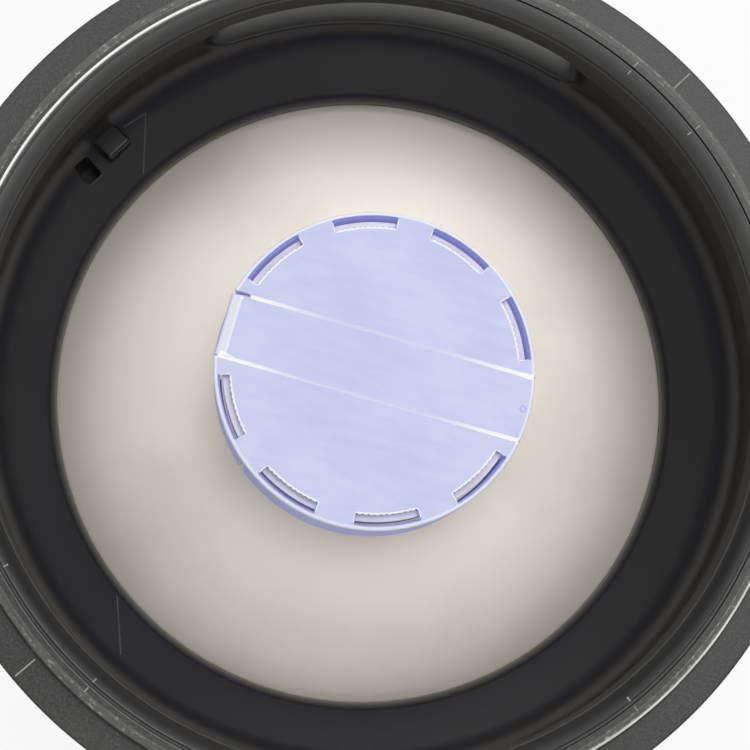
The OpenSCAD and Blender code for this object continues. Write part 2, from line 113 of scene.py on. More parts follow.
class RingSizes(bpy.types.PropertyGroup):
    """Sizes of the moulded handling ring, and of the foot ring where they match."""

    crest_z: length("Crest height", "Height of the crest above the floor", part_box("top_ring")[1].z / MM)
    outer_r: length("Outer radius", "Radius of the outer wall", 120)
    bore_r: length("Bore radius", "Radius of the inside round the barrel", 116.6)
    height: length("Height", "Height of the ring", 105)
    edge: length("Outer edge", "Radius of the outer edges", 0.7)
    shoulder: length("Shoulder drop", "Depth of the stacking shoulder below the crest", 5)
    spigot_r: length("Spigot radius", "Radius of the stacking spigot", 111.2)
    spigot_edge: length("Spigot edge", "Radius at the foot of the spigot", 1.2)
    chamfer: length("Spigot chamfer", "Width of the chamfer round the spigot's top", 1.9)
    groove_r: length("Groove radius", "Radius of the fine groove in the crest", 106.7)
    groove_w: length("Groove width", "Width of the fine groove in the crest", 1)
    groove_h: length("Groove depth", "Depth of the fine groove in the crest", 0.8)
    grip_r: length("Grip radius", "Inner radius of the grip bead", 102)
    grip_fall: length("Grip fall", "Radius of the gentle fall from the crest to the grip bead", 10)
    grip_tilt: angle("Grip tilt", "Tilt at which that fall starts", 20)
    grip_edge: length("Grip edge", "Radius of the roll into the grip bead's face", 1.6)
    grip_drop: length("Grip drop", "Depth at which the grip bead turns under", 12.5)
    wall_r: length("Wall radius", "Radius of the inner wall", 104.5)
    bowl_r: length("Bowl radius", "Radius between the inner wall and the slope", 12)
    bowl_drop: length("Bowl drop", "Depth at which that radius starts", 29)
    lip_r: length("Lip radius", "Radius of the lip on the head", 85.7)
    lip_edge: length("Lip edge", "Rounding of the lip on the head", 4.5)
    lip_face: length("Lip face", "Height of the lip's upright face", 0.8)
    fit: length("Fit", "Gap between the ring and the steel", 0.1)
    hand_w: length("Hand-hold width", "Length of a hand-hold along its chord", 106)
    hand_h: length("Hand-hold height", "Height of a hand-hold", 21)
    hand_drop: length("Hand-hold drop", "Depth of a hand-hold's upper edge", 11)
    hand_r: length("Hand-hold corner", "Corner radius of a hand-hold", 8)
    hand_out: length("Outer rounding", "Rounding of a hand-hold's outer edge", 3)
    hand_in: length("Inner rounding", "Rounding of a hand-hold's inner edge", 0.8)
    lug_turn: angle("Lug direction", "Direction of the moulded lug from +X", 140.5)
    lug_w: length("Lug width", "Width of the moulded lug", 8.5)
    lug_h: length("Lug height", "Height of the moulded lug", 5.5)
    lug_out: length("Lug reach", "How far the moulded lug stands in from the wall", 8.8)
    lug_drop: length("Lug drop", "Depth of the lug's upper face", 36)
    lug_edge: length("Lug edge", "Rounding of the lug's edges", 1.1)
    pocket_gap: length("Pocket gap", "Gap between the lug and the pocket beside it", 3.6)
    pocket_w: length("Pocket width", "Width of the pocket", 4.9)
    pocket_l: length("Pocket length", "Length of the pocket out towards the wall", 5.6)
    pocket_h: length("Pocket depth", "Depth of the pocket's floor below the lug's upper face", 13)
    foot_h: length("Foot height", "Height of the foot ring", 80)
    foot_lip: length("Foot lip", "Radius where the foot ring meets the bottom dish", 95)
    socket_r: length("Socket radius", "Radius of the stacking socket in the foot", 112.4)
    socket_h: length("Socket depth", "Depth of the stacking socket in the foot", 6)
    socket_lead: length("Socket lead-in", "Lead-in chamfer of the stacking socket", 1)


class FittingSizes(bpy.types.PropertyGroup):
    """Sizes of the springs in the fitting."""

    gas_wire: length("Gas wire", "Thickness of the outer spring's wire", 2.2)
    gas_turns: whole("Gas turns", "Turns of the outer spring", 7)
    gas_travel: length("Gas travel", "How far the gas valve shortens its spring", 6)
    ball_wire: length("Ball wire", "Thickness of the inner spring's wire", 1)
    ball_turns: whole("Ball turns", "Turns of the inner spring", 7)
    ball_travel: length("Ball travel", "How far the ball shortens its spring", 5)
    end_gap: length("End gap", "Gap between a spring's end turn and the next", 0.6)


class CapSizes(bpy.types.PropertyGroup):
    """Sizes of the tear-off cap."""

    top_z: length("Top", "Height of the cap's top face above the floor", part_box("cap_shell")[1].z / MM)
    radius: length("Radius", "Radius of the cap", 41.7)
    plate: length("Plate", "Thickness of the cap's top", 1.6)
    rim: length("Rim", "Rounding of the cap's upper edge", 0.9)
    skirt_h: length("Skirt height", "Height of the skirt", 20)
    skirt_t: length("Skirt wall", "Thickness of the skirt", 1.5)
    snap_r: length("Snap radius", "Inner radius of the snap ribs", 39.7)
    snap_top: length("Snap drop", "Depth of the snap ribs' upper edge", 8.3)
    snap_h: length("Snap height", "Height of a snap rib", 2.4)
    strip_turn: angle("Strip direction", "Direction of the strip's folding end from +X", -10.8)
    strip_w: length("Strip width", "Distance between the tear lines", 17)
    strip_shift: length("Strip shift", "How far the strip lies off the cap's middle", 0.7)
    tear_gap: length("Tear line", "Width of a tear line", 0.5)
    pull_x: length("Pull reach", "Distance of the pull end's face from the middle", 41.1)
    pull_h: length("Pull height", "Height of the turned-down pull end", 8)
    pull_bend: length("Pull bend", "Outer radius of the two bends at the pull end", 1.7)
    pull_bevel: length("Pull bevel", "Length of the sloping part between those bends", 1.6)
    pull_slope: angle("Pull slope", "Fall of that sloping part", 28)
    open_x: length("Slit start", "Distance from the middle beyond which the upper tear line is open", 36.2)
    open_w: length("Slit widening", "How much wider the tear line is there", 0.35)
    pull_gap: length("Pull room", "Room round the pull end in the skirt", 1.2)
    slot_span: angle("Slot span", "Angle that a slot spans", 25)
    slot_w: length("Slot width", "Radial width of a slot", 3.3)
    slot_rim: length("Slot rim", "Width of the rim outside a slot", 1.1)
    slot_r: length("Slot corner", "Corner radius of a slot", 0.5)
    slit_w: length("Slit width", "Width of a slit in the skirt", 1.8)
    slit_top: length("Slit drop", "How far the slits stop below the top", 2.5)


class Colours(bpy.types.PropertyGroup):
    """Colours of the finishes."""

    moulding: colour("Moulding", "Black of the moulded rings", "161615")
    mould_line: colour("Mould line", "Paler black of the lines that the mould leaves", "383836")
    dust_line: colour("Rubbed line", "Grey of those lines where they are rubbed", "9a9a97")
    # Also the grey of the painted light on the grip band and the hand-holds' sills.
    dust_and_lit_grey: colour("Dust", "Grey of worn and dusty moulding", "6e6e6c")
    # Also painted light on the hand-holds' sills.
    scuff_and_lit_grey: colour("Scuff", "Pale grey of scuffed moulding", "c4c4c0")
    # Also the white of painted highlights on the crest's groove and the spigot's chamfer.
    bare_and_glint: colour("Bare", "White of chafed and stretched moulding", "f0f0ee")
    # Warmer in tone than the barrel: a painted cast of the warm light on the heads.
    steel: colour("Steel", "Satin steel of the vessel", "efeae1")
    steel_shade: colour("Steel shade", "Darker bloom in the satin steel", "e5e0d6")
    barrel: colour("Barrel steel", "Brushed steel of the barrel", "d2d1cf")
    barrel_shade: colour("Barrel lines", "Darker brush lines on the barrel", "bfbebc")
    # The faint lilac tint in these two is a painted reflection of the lavender cap.
    turned_steel: colour("Turned steel", "Bright steel of the fitting", "cccad6")
    turned_shade: colour("Turned shade", "Darker bloom in the bright steel", "bcbac6")
    weld: colour("Weld", "Weld metal", "b9b2a6")
    heat: colour("Heat tint", "Straw tint beside a weld", "b79a6a")
    cap: colour("Cap", "Lavender of the cap", "cbcfee")
    cap_shade: colour("Cap shade", "Deeper lavender of the cap", "c1c6ea")
    # Painted light: the blue of light through the thin plastic, on the skirt and as its glow; also painted
    # shade on the gate ring.
    painted_cap_tint: colour("Cap depth", "Blue lavender inside the cap's skirt", "a2a6e4")
    # Also the painted highlight on the cap's rim and the light painted on the pull end's bevel.
    stretch_and_glint: colour("Stretched", "Paler lavender of stretched plastic", "eceffd")
    burr: colour("Burr", "Whitened edges of the cap", "fafafd")
    rubber: colour("Rubber", "Black of the seals", "1b1b1c")
    floor: colour("Floor", "Pale floor", "f4f4f2")


class StageSizes(bpy.types.PropertyGroup):
    """Camera and lights."""

    turn: angle("Turn", "Turn of the picture about the keg's axis", 4.65)
    lean: angle("Lean", "Lean of the view off the axis", 10)
    lean_to: angle("Lean direction", "Direction of that lean in the picture", -117)
    distance: length("Distance", "Distance from the camera to the crest's middle", 462)
    shift_x: length("Aim across", "Aim off the axis, across the picture", -0.3)
    shift_y: length("Aim up", "Aim off the axis, up the picture", -1.8)
    focal: length("Focal length", "Focal length for a sensor 36 mm wide", 86.4)
    key: amount("Key light", "Power of the large soft light", 3.0, "POWER")
    key_size: length("Key light size", "Width of the large soft light", 740)
    key_turn: angle("Key light turn", "Direction of the large soft light in the picture", 54)
    key_lean: angle("Key light lean", "Lean of the large soft light off the axis", 18)
    key_far: length("Key light distance", "Distance of the large soft light from the crest", 1300)
    overhead: amount("Overhead", "Strength of the bright panel overhead", 1.45)
    walls: amount("Walls", "Strength of the light from the sides", 0.22)
    horizon: amount("Horizon", "Strength of the light from low down", 1.0)
    patch: amount("Patch", "Share of the panel that is lost behind the camera", 0.85)
    windows: amount("Windows", "Strength of the light level with the hand-holds", 0.8)
    floor_glow: amount("Floor glow", "Share of its own light in the floor that is seen", 0.82)
    floor_reach: length("Floor reach", "Distance from the axis to the floor's edges", 3000)


# Finishes


class Value:
    """A shader socket that Python's arithmetic works on."""

    def __init__(self, finish, socket):
        self.finish = finish
        self.socket = socket

    def math(self, operation, first, second=None):
        inputs = {0: first} if second is None else {0: first, 1: second}
        return self.finish.node("ShaderNodeMath", {"operation": operation}, inputs)

    def __add__(self, other):
        return self.math("ADD", self, other)

    def __sub__(self, other):
        return self.math("SUBTRACT", self, other)

    def __rsub__(self, other):
        return self.math("SUBTRACT", other, self)

    def __mul__(self, other):
        return self.math("MULTIPLY", self, other)

    def __pow__(self, other):
        return self.math("POWER", self, other)

    def __abs__(self):
        return self.math("ABSOLUTE", self)

    __radd__ = __add__
    __rmul__ = __mul__


class Graph:
    """A shader's node tree, to which nodes are added."""

    def __init__(self, tree):
        self.tree = tree

    def feed(self, socket, value):
        if isinstance(value, Value):
            self.tree.links.new(value.socket, socket)
        elif socket.type == "RGBA":
            socket.default_value = (*value[:3], 1)
        else:
            socket.default_value = value

    def node(self, kind, settings=None, inputs=None, output=0):
        """Add a node: its settings first, then its sockets. A tuple of outputs gives a tuple of values."""
        made = self.tree.nodes.new(kind)
        for key, value in (settings or {}).items():
            setattr(made, key, value)
        for key, value in (inputs or {}).items():
            self.feed(made.inputs[key], value)
        if isinstance(output, tuple):
            return tuple(Value(self, made.outputs[name]) for name in output)
        return Value(self, made.outputs[output])

    def step(self, value, low, high):
        """Smooth step from 0 at low to 1 at high."""
        inputs = {"Value": value, "From Min": low, "From Max": high}
        return self.node("ShaderNodeMapRange", {"interpolation_type": "SMOOTHSTEP"}, inputs)


class Finish(Graph):
    """A procedural material whose nodes feed one Principled shader."""

    def __init__(self, name, settings):
        self.material = bpy.data.materials.new(name)
        self.material.use_nodes = True
        super().__init__(self.material.node_tree)
        self.shader = self.tree.nodes["Principled BSDF"]
        for socket, value in settings.items():
            self.feed(self.shader.inputs[socket], value)

    def place(self):
        """Position on the piece, whole and split into axes."""
        where = self.node("ShaderNodeTexCoord", output="Object")
        return (where, *self.node("ShaderNodeSeparateXYZ", inputs={0: where}, output=("X", "Y", "Z")))

    def facing_up(self):
        normal = self.node("ShaderNodeNewGeometry", output="Normal")
        return self.node("ShaderNodeSeparateXYZ", inputs={0: normal}, output="Z")

    def noise(self, where, scale, detail=2, rough=0.5):
        inputs = {"Vector": where, "Scale": scale, "Detail": detail, "Roughness": rough}
        return self.node("ShaderNodeTexNoise", None, inputs)

    def between(self, value, low, high, soft):
        """1 from low to high, falling to 0 over a soft margin outside them."""
        return self.step(value, low - soft, low) * (1 - self.step(value, high, high + soft))

    def rise(self, value, low, high):
        """Smooth step between two lengths in millimetres."""
        return self.step(value, low * MM, high * MM)

    def span(self, value, low, high, soft):
        """1 between two lengths in millimetres, falling to 0 over a soft margin outside them."""
        return self.between(value, low * MM, high * MM, soft * MM)

    def reach(self, x, y):
        """Distance from the keg's axis."""
        return (x * x + y * y) ** 0.5

    def vector(self, x, y, z):
        return self.node("ShaderNodeCombineXYZ", None, {0: x, 1: y, 2: z})

    def mix(self, factor, a, b):
        return self.node("ShaderNodeMix", {"data_type": "RGBA"}, {0: factor, 6: a, 7: b}, 2)

    def wear(self, x, y, z, along, across):
        """Noise drawn out round the keg's axis, as handling and turning leave it."""
        turn = x.math("ARCTAN2", y, x)
        where = self.vector(turn * along, self.reach(x, y) * across, z * across)
        return self.noise(where, 1, 4, 0.6)

    def bump(self, height, distance, strength=1.0):
        inputs = {"Strength": strength, "Distance": distance, "Height": height}
        self.feed(self.shader.inputs["Normal"], self.node("ShaderNodeBump", None, inputs))

    def surface(self, base, roughness):
        self.feed(self.shader.inputs["Base Color"], base)
        self.feed(self.shader.inputs["Roughness"], roughness)
        return self.material


def moulded_black(name, hues, crest_z):
    """Black moulding: fine grain, dust and painted light on the hand-holds' sills, painted light on the far
    half of the grip band, pale wear and painted highlights along the crest's edges.
    """
    f = Finish(name, {"Specular IOR Level": 0.42})
    where, x, y, z = f.place()
    reach = f.reach(x, y)
    drop = crest_z - z
    cloud = f.noise(where, 28, 4)
    grain = f.noise(where, 1500, 2)
    fleck = f.noise(where, 620, 3, 0.7)
    worn = f.wear(x, y, z, 7, 1300)
    level = f.step(f.facing_up(), 0.6, 0.97)
    crest = 1 - f.rise(drop, 2.4, 4)
    rim = f.span(reach, 109.2, 111.25, 0.6) * crest
    lines = f.span(reach, 107.25, 107.4, 0.12) + f.span(reach, 105.8, 106, 0.12)
    # Painted highlights: the groove's two edges are lightened on the lower left only.
    painted_glint_side = 1 - f.rise(x + y, -120, -10)
    # Pale chafing on the spigot's chamfer together with a painted highlight, on the lower right only.
    chafe_and_glint = f.rise(x - y, 112, 142) * f.span(reach, 110.75, 111.2, 0.5)
    # Painted highlight: a white line along the groove's outer edge, on the upper left only.
    stretch_and_glint = f.rise(y - x, 118, 140) * f.span(reach, 107.1, 107.75, 0.1)
    # Painted light: the grip band's inner face is made paler on the +Y half, where light falls on it.
    grip = f.span(reach, 102.6, 105.6, 0.4) * crest * f.rise(y, -40, 40)
    under = f.span(drop, 4.5, 28, 2) * (1 - f.rise(reach, 105, 106))
    # Sills: real dust, with painted light from the hand-hold openings added on top.
    sill = level * f.span(drop, 30.5, 33, 0.5) * f.rise(reach, 103, 114)
    top = level * f.rise(reach, 106, 107) * (1 - f.rise(drop, 5.4, 6.4))
    # The grip's share here is painted light, not dust.
    dusty_and_lit = 0.02 * level * cloud + 0.19 * top * (cloud + f.step(grain, 0.35, 0.7)) + 0.26 * grip
    dusty_and_lit = dusty_and_lit + sill * (0.85 + 0.5 * cloud)
    # The rim's share is real rubbing; the groove lines' share is painted highlight.
    rubbed = rim * (0.25 + 0.5 * worn) + lines * crest * painted_glint_side * (0.2 + 0.8 * worn)
    scuffed = rim * f.step(fleck * 0.6 + worn * 0.4, 0.52, 0.66)
    speck = f.step(fleck, 0.67, 0.75)
    base = f.mix(dusty_and_lit + rubbed, hues.moulding, hues.dust_and_lit_grey)
    # The sills' share of this pale grey is painted light.
    base = f.mix(scuffed * 0.5 + speck * (0.02 + 0.2 * top) + 0.25 * sill, base, hues.scuff_and_lit_grey)
    base = f.mix(stretch_and_glint * crest + chafe_and_glint * crest * (0.2 + 1.1 * worn), base, hues.bare_and_glint)
    f.bump(grain * 0.55 + fleck * 0.35 + worn * top * 0.5, 0.05 * MM, 0.8)
    return f.surface(base, 0.24 + 0.1 * cloud + 0.1 * grain + 0.2 * scuffed + 0.15 * sill + 0.3 * under)


def mould_line_black(name, hues, crest_z):
    """Thin seams of the moulding, rubbed palest on the crest and the shoulder."""
    f = Finish(name, {"Specular IOR Level": 0.6})
    where, *_, z = f.place()
    patch = f.noise(where, 160, 3)
    fine = f.noise(where, 2400, 2)
    base = f.mix(f.rise(crest_z - z, 6, 9), hues.dust_line, hues.mould_line)
    base = f.mix(0.5 * f.step(patch, 0.45, 0.75), base, hues.moulding)
    f.bump(fine, 0.03 * MM, 0.6)
    return f.surface(base, 0.4 + 0.16 * patch)


def satin_steel(name, hues, weld_z):
    """Pickled steel: soft bloom on the heads, brushed round the barrel, straw tint by the girth weld. The
    heads' warm tone is a painted cast of the warm light.
    """
    f = Finish(name, {"Metallic": 1.0})
    where, x, y, z = f.place()
    bloom = f.noise(where, 16, 4, 0.55)
    grain = f.noise(where, 1900, 2)
    pores = f.noise(where, 480, 3)
    drawn = f.wear(x, y, z, 3, 420)
    upright = 1 - f.step(abs(f.facing_up()), 0.2, 0.5)
    brushed = f.wear(x, y, z, 1.2, 950) * upright
    base = f.mix(f.step(bloom, 0.35, 0.7), hues.steel, hues.steel_shade)
    base = f.mix(upright, base, f.mix(f.step(brushed, 0.2, 0.9), hues.barrel, hues.barrel_shade))
    near = 1 - f.rise(abs(z - weld_z), 2, 12)
    base = f.mix(near * (0.25 + 0.45 * bloom), base, hues.heat)
    f.bump(grain * 0.5 + pores * 0.35 + drawn * 0.25 + brushed, 0.02 * MM, 0.6)
    return f.surface(base, 0.56 + 0.06 * bloom + 0.05 * pores - 0.2 * upright)


def turned_steel(name, hues):
    """Machined steel with the fine rings of the lathe, and a faint lilac tint that is a painted reflection of
    the lavender cap.
    """
    f = Finish(name, {"Metallic": 1.0})
    where, x, y, z = f.place()
    reach = f.reach(x, y)
    rings = f.noise(f.vector(reach * 5200, z * 5200, 0.0), 1, 2)
    bloom = f.noise(where, 90, 3)
    base = f.mix(bloom * 0.7 + rings * 0.3, hues.turned_steel, hues.turned_shade)
    f.bump(rings, 0.02 * MM, 0.6)
    return f.surface(base, 0.48 + 0.12 * bloom + 0.1 * rings)


def weld_metal(name, hues):
    """Weld bead: bright ridges and straw-coloured troughs."""
    f = Finish(name, {"Metallic": 1.0})
    where, *_ = f.place()
    mottle = f.noise(where, 260, 4)
    fine = f.noise(where, 1400, 3)
    base = f.mix(f.step(mottle, 0.4, 0.68), hues.weld, hues.heat)
    f.bump(mottle * 0.6 + fine * 0.4, 0.06 * MM, 0.8)
    return f.surface(base, 0.36 + 0.2 * fine)


def cap_plastic(name, hues, c, tint=0.0):
    """Lavender plastic with faint flow lines, a painted highlight at the rim, a whitened bend with painted
    light on it, and painted blue light with a painted glow on the skirt.
    """
    f = Finish(name, {"Specular IOR Level": 0.45, "Emission Strength": 0.3})
    where, x, y, z = f.place()
    wall = c.radius - c.skirt_t
    drop = c.top_z - z
    reach = f.reach(x, y)
    along = x * math.cos(c.strip_turn) + y * math.sin(c.strip_turn)
    across = y * math.cos(c.strip_turn) - x * math.sin(c.strip_turn) - c.strip_shift
    cloud = f.noise(where, 55, 4)
    grain = f.noise(where, 1700, 2)
    flow = f.noise(f.vector(along * 90 + cloud * 3, across * 420, 0.0), 1, 3)
    # Painted highlight: the rim's roll is made pale all round.
    rim = f.step(reach, c.radius - 1.2 * MM, c.radius - 0.6 * MM) * (1 - f.rise(drop, 0.7, 1.4))
    # The pull end's bevel: stress whitening at the bend, made paler still as painted light.
    bent = f.between(along, -c.pull_x, -c.pull_x + 3 * MM, 0.15 * MM) * (1 - f.rise(drop, 1.6, 2.2))
    bent = bent * (1 - f.step(abs(across), c.strip_w / 2 - 0.4 * MM, c.strip_w / 2))
    # Painted light: deeper blue below the top, inside and outside the skirt, standing for light through the
    # thin plastic.
    inner = f.rise(drop, 0.3, 1) * (1 - f.step(reach, wall + 0.5 * MM, wall + 0.8 * MM)) * (1 - bent)
    side = 0.5 * f.rise(drop, 1, 2.5)
    upright = 1 - f.step(f.facing_up(), 0.3, 0.8)
    base = f.mix(f.step(cloud * 0.6 + flow * 0.4, 0.36, 0.66), hues.cap, hues.cap_shade)
    base = f.mix(rim.math("MAXIMUM", rim, bent), base, hues.stretch_and_glint)
    base = f.mix(inner + side + tint, base, hues.painted_cap_tint)
    # Painted glow: emission on the skirt's upright faces, though the cap is no lamp.
    glow = f.mix(upright * (inner + 1.6 * side), (0, 0, 0), hues.painted_cap_tint)
    f.feed(f.shader.inputs["Emission Color"], glow)
    f.bump(grain * 0.6 + flow * 0.4, 0.02 * MM, 0.5)
    return f.surface(base, 0.4 + 0.1 * cloud + 0.08 * grain)


def whitened_plastic(name, hues):
    """Stretched and torn edges of the cap, faint in its middle and whitest near the rim."""
    f = Finish(name, {"Specular IOR Level": 0.5})
    where, x, y, _ = f.place()
    reach = f.reach(x, y)
    patch = f.noise(where, 900, 3)
    fine = f.noise(where, 3200, 2)
    torn = f.rise(reach + patch * 8 * MM, 28, 44)
    pale = 0.2 + 0.8 * f.rise(reach, 14, 34)
    base = f.mix(torn, f.mix(pale, hues.cap, hues.stretch_and_glint), hues.burr)
    f.bump(fine, 0.03 * MM, 0.7)
    return f.surface(base, 0.42 + 0.2 * patch)


def rubber_black(name, hues):
    """Moulded rubber with a dry, slightly greyed skin."""
    f = Finish(name, {"Specular IOR Level": 0.35})
    where, *_ = f.place()
    cloud = f.noise(where, 130, 4)
    grain = f.noise(where, 2200, 2)
    base = f.mix(cloud * 0.25, hues.rubber, hues.dust_and_lit_grey)
    f.bump(grain, 0.03 * MM, 0.7)
    return f.surface(base, 0.62 + 0.18 * cloud)


def finish(maker, name, *more):
    """A material made once and found by its name after that."""
    return bpy.data.materials.get(name) or maker(name, bpy.context.scene.keg_colours, *more)


# Mesh helpers


def polar(reach, turn, *z):
    """Point at a reach from the axis and a turn about it, with a height if one is given."""
    return (reach * math.cos(turn), reach * math.sin(turn), *z)


def spread(first, last, steps):
    """Evenly spaced values from first to last."""
    return [first + (last - first) * i / steps for i in range(steps + 1)]


def around(columns):
    """Evenly spaced turns about an axis."""
    return [math.tau * i / columns for i in range(columns)]


def quarter(steps):
    """Shares by which a rounded edge still stands out and has fallen, from (1, 0) to (0, 1)."""
    return [(1 - math.sin(t), 1 - math.cos(t)) for t in spread(0, math.pi / 2, steps)]


def arc(x, z, r, start, end, steps=8):
    """Points on an arc about (x, z), from one angle in degrees to another."""
    turns = map(math.radians, spread(start, end, steps))
    return [(x + r * math.cos(t), z + r * math.sin(t)) for t in turns]


def straight(a, b, pitch):
    """Points from a towards b at about the pitch, without b."""
    a, b = Vector(a), Vector(b)
    count = max(1, round((b - a).length / pitch))
    return [tuple(a.lerp(b, i / count)) for i in range(count)]


def round_rectangle(x0, z0, x1, z1, r, pitch, steps=6):
    """Outline of a rectangle with rounded corners, counter-clockwise."""
    left, right, low, high = x0 + r, x1 - r, z0 + r, z1 - r
    out = []
    for x, z, start in ((right, high, 0), (left, high, 90), (left, low, 180), (right, low, 270)):
        turn = arc(x, z, r, start, start + 90, steps)
        if out:
            out += straight(out.pop(), turn[0], pitch)
        out += turn
    return out + straight(out.pop(), out[0], pitch)


def rounded(points, radius, steps=4):
    """Open outline with its corners rounded off over about a radius."""
    out = [points[0]]
    for before, corner, after in zip(points, points[1:], points[2:]):
        a, b, c = Vector(before), Vector(corner), Vector(after)
        start = b + (a - b).normalized() * min(radius, (a - b).length / 2)
        end = b + (c - b).normalized() * min(radius, (c - b).length / 2)
        for i in range(steps + 1):
            t = i / steps
            out.append(tuple(start.lerp(b, t).lerp(b.lerp(end, t), t)))
    return out + [points[-1]]


def inset(loop, amounts):
    """Loop moved to its left by an amount for each point."""
    moved = []
    for i, point in enumerate(loop):
        p = Vector(point)
        a = (p - Vector(loop[i - 1])).normalized()
        b = (Vector(loop[(i + 1) % len(loop)]) - p).normalized()
        side = Vector((-a.y - b.y, a.x + b.x))
        lean = max(0.5, side.length_squared / 2)
        moved.append(tuple(p + side * (amounts[i] / lean)))
    return moved


def inside(point, loop):
    """Whether a point lies in a flat loop."""
    x, y = point
    found = False
    for (ax, ay), (bx, by) in zip(loop, loop[1:] + loop[:1]):
        if (ay > y) != (by > y) and x < (bx - ax) * (y - ay) / (by - ay) + ax:
            found = not found
    return found


class Skin:
    """Points and faces of a piece, in metres."""

    def __init__(self):
        self.points = []
        self.faces = []

    def add(self, points):
        first = len(self.points)
        self.points.extend(Vector(p) for p in points)
        return list(range(first, len(self.points)))

    def band(self, a, b):
        """Faces between two closed rows of points."""
        for i in range(len(a)):
            j = (i + 1) % len(a)
            self.faces.append((a[i], a[j], b[j], b[i]))

    def loft(self, rings, caps=True, loop=False):
        """Closed rings of points joined in order, with flat ends or as a loop that returns to the first."""
        rows = [self.add(ring) for ring in rings]
        for a, b in zip(rows, rows[1:]):
            self.band(a, b)
        if loop:
            self.band(rows[-1], rows[0])
        elif caps:
            self.faces += [tuple(reversed(rows[0])), tuple(rows[-1])]
        return rows

    def turned(self, section, columns, windows=()):
        """A closed section turned about the keg's axis, with windows left open in its rows and columns."""
        rows = [self.add([polar(r, t, z) for t in around(columns)]) for r, z in section]
        for i, (a, b) in enumerate(zip(rows, rows[1:] + rows[:1])):
            for j in range(columns):
                if not any(r0 <= i < r1 and c0 <= j < c1 for _, r0, r1, c0, c1 in windows):
                    k = (j + 1) % columns
                    self.faces.append((a[j], a[k], b[k], b[j]))

    def fill(self, loops, place, extra=()):
        """Flat area between an outline and its holes, placed in space."""
        flat, edges = [], []
        for loop in loops:
            first, count = len(flat), len(loop)
            flat += loop
            edges += [(first + i, first + (i + 1) % count) for i in range(count)]
        flat += extra
        found, _, faces, *_ = delaunay_2d_cdt([Vector(p) for p in flat], edges, [], 1, 1e-9)
        numbers = self.add([place(p.x, p.y) for p in found])
        for face in faces:
            middle = sum((found[i] for i in face), Vector((0, 0))) / len(face)
            if not any(inside(middle, hole) for hole in loops[1:]):
                self.faces.append(tuple(numbers[i] for i in face))

    def plate(self, outline, holes, thick, rolls, hole_roll, place):
        """Plate with rolled upper edges. The outline runs counter-clockwise and the holes clockwise."""
        loops = [(outline, rolls)] + [(hole, [hole_roll] * len(hole)) for hole in holes]
        tops = []
        for loop, amounts in loops:
            rings = []
            for out, fall in quarter(5):
                moved = inset(loop, [e * out for e in amounts])
                rings.append([place(x, y, e * fall) for (x, y), e in zip(moved, amounts)])
            tops.append(inset(loop, amounts))
            rings.append([place(x, y, thick) for x, y in loop])
            self.loft(rings, caps=False)
        self.fill(tops, lambda x, y: place(x, y, 0))
        self.fill([loop for loop, _ in loops], lambda x, y: place(x, y, thick))

    def rib(self, path, widths, heights, sink):
        """Low ridge along a path of points and surface normals. A width or height may hold all along."""
        widths, heights = (v if isinstance(v, list) else [v] * len(path) for v in (widths, heights))
        rings = []
        for i, (point, normal) in enumerate(path):
            ahead = path[min(i + 1, len(path) - 1)][0] - path[max(i - 1, 0)][0]
            side = ahead.cross(normal).normalized()
            h = heights[i]
            marks = ((-0.5, -sink), (-0.32, h * 0.6), (0, h), (0.32, h * 0.6), (0.5, -sink))
            rings.append([point + side * widths[i] * s + normal * lift for s, lift in marks])
        self.loft(rings)


def lofted(rings, loop=False):
    """Skin of a single loft."""
    skin = Skin()
    skin.loft(rings, loop=loop)
    return skin


def make_piece(name, skin, material, body, stands_for=(), weld=True, sharp=38):
    """Mesh object that rides on a body and may stand for CAD nodes."""
    mesh = bpy.data.meshes.new(name)
    mesh.from_pydata(skin.points, [], skin.faces)
    work = bmesh.new()
    work.from_mesh(mesh)
    if weld:
        bmesh.ops.remove_doubles(work, verts=work.verts, dist=2e-6)
        bmesh.ops.dissolve_degenerate(work, dist=1e-7, edges=work.edges)
    bmesh.ops.recalc_face_normals(work, faces=work.faces)
    work.to_mesh(mesh)
    work.free()
    mesh.polygons.foreach_set("use_smooth", [True] * len(mesh.polygons))
    mesh.set_sharp_from_angle(angle=math.radians(sharp))
    mesh.materials.append(material)
    piece = bpy.data.objects.new(name, mesh)
    bpy.context.scene.collection.objects.link(piece)
    even = piece.modifiers.new("even_shading", "WEIGHTED_NORMAL")
    even.keep_sharp = True
    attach(piece, body)
    if stands_for:
        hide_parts(*stands_for)
    return piece


def dress(node, material):
    """Give a CAD node that keeps its shape a finish."""
    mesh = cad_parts[node].data
    mesh.materials.clear()
    mesh.materials.append(material)


def head_curve(v, off, r0, steps):
    """Outline of a dished head moved out by off, from radius r0 to the barrel, above the barrel's end."""
    r, k = v.crown_r + off, v.knuckle_r + off
    knuckle_x = v.radius - v.knuckle_r
    rise = head_rise(v)
    meet = math.asin(knuckle_x / (v.crown_r - v.knuckle_r))
    first = math.asin(r0 / r)
    crown, knuckle = spread(first, meet, steps)[:-1], spread(meet, math.pi / 2, steps)
    out = [(r * math.sin(t), rise - v.crown_r + r * math.cos(t)) for t in crown]
    return out + [(knuckle_x + k * math.sin(t), k * math.cos(t)) for t in knuckle]


def head_rise(v):
    """Height of a head above the barrel's end."""
    knuckle_x = v.radius - v.knuckle_r
    return v.crown_r - math.sqrt((v.crown_r - v.knuckle_r) ** 2 - knuckle_x ** 2)


def barrel_ends(v):
    """Heights of the barrel's two ends."""
    low = v.base_z + head_rise(v)
    return low, low + v.barrel


# Rings

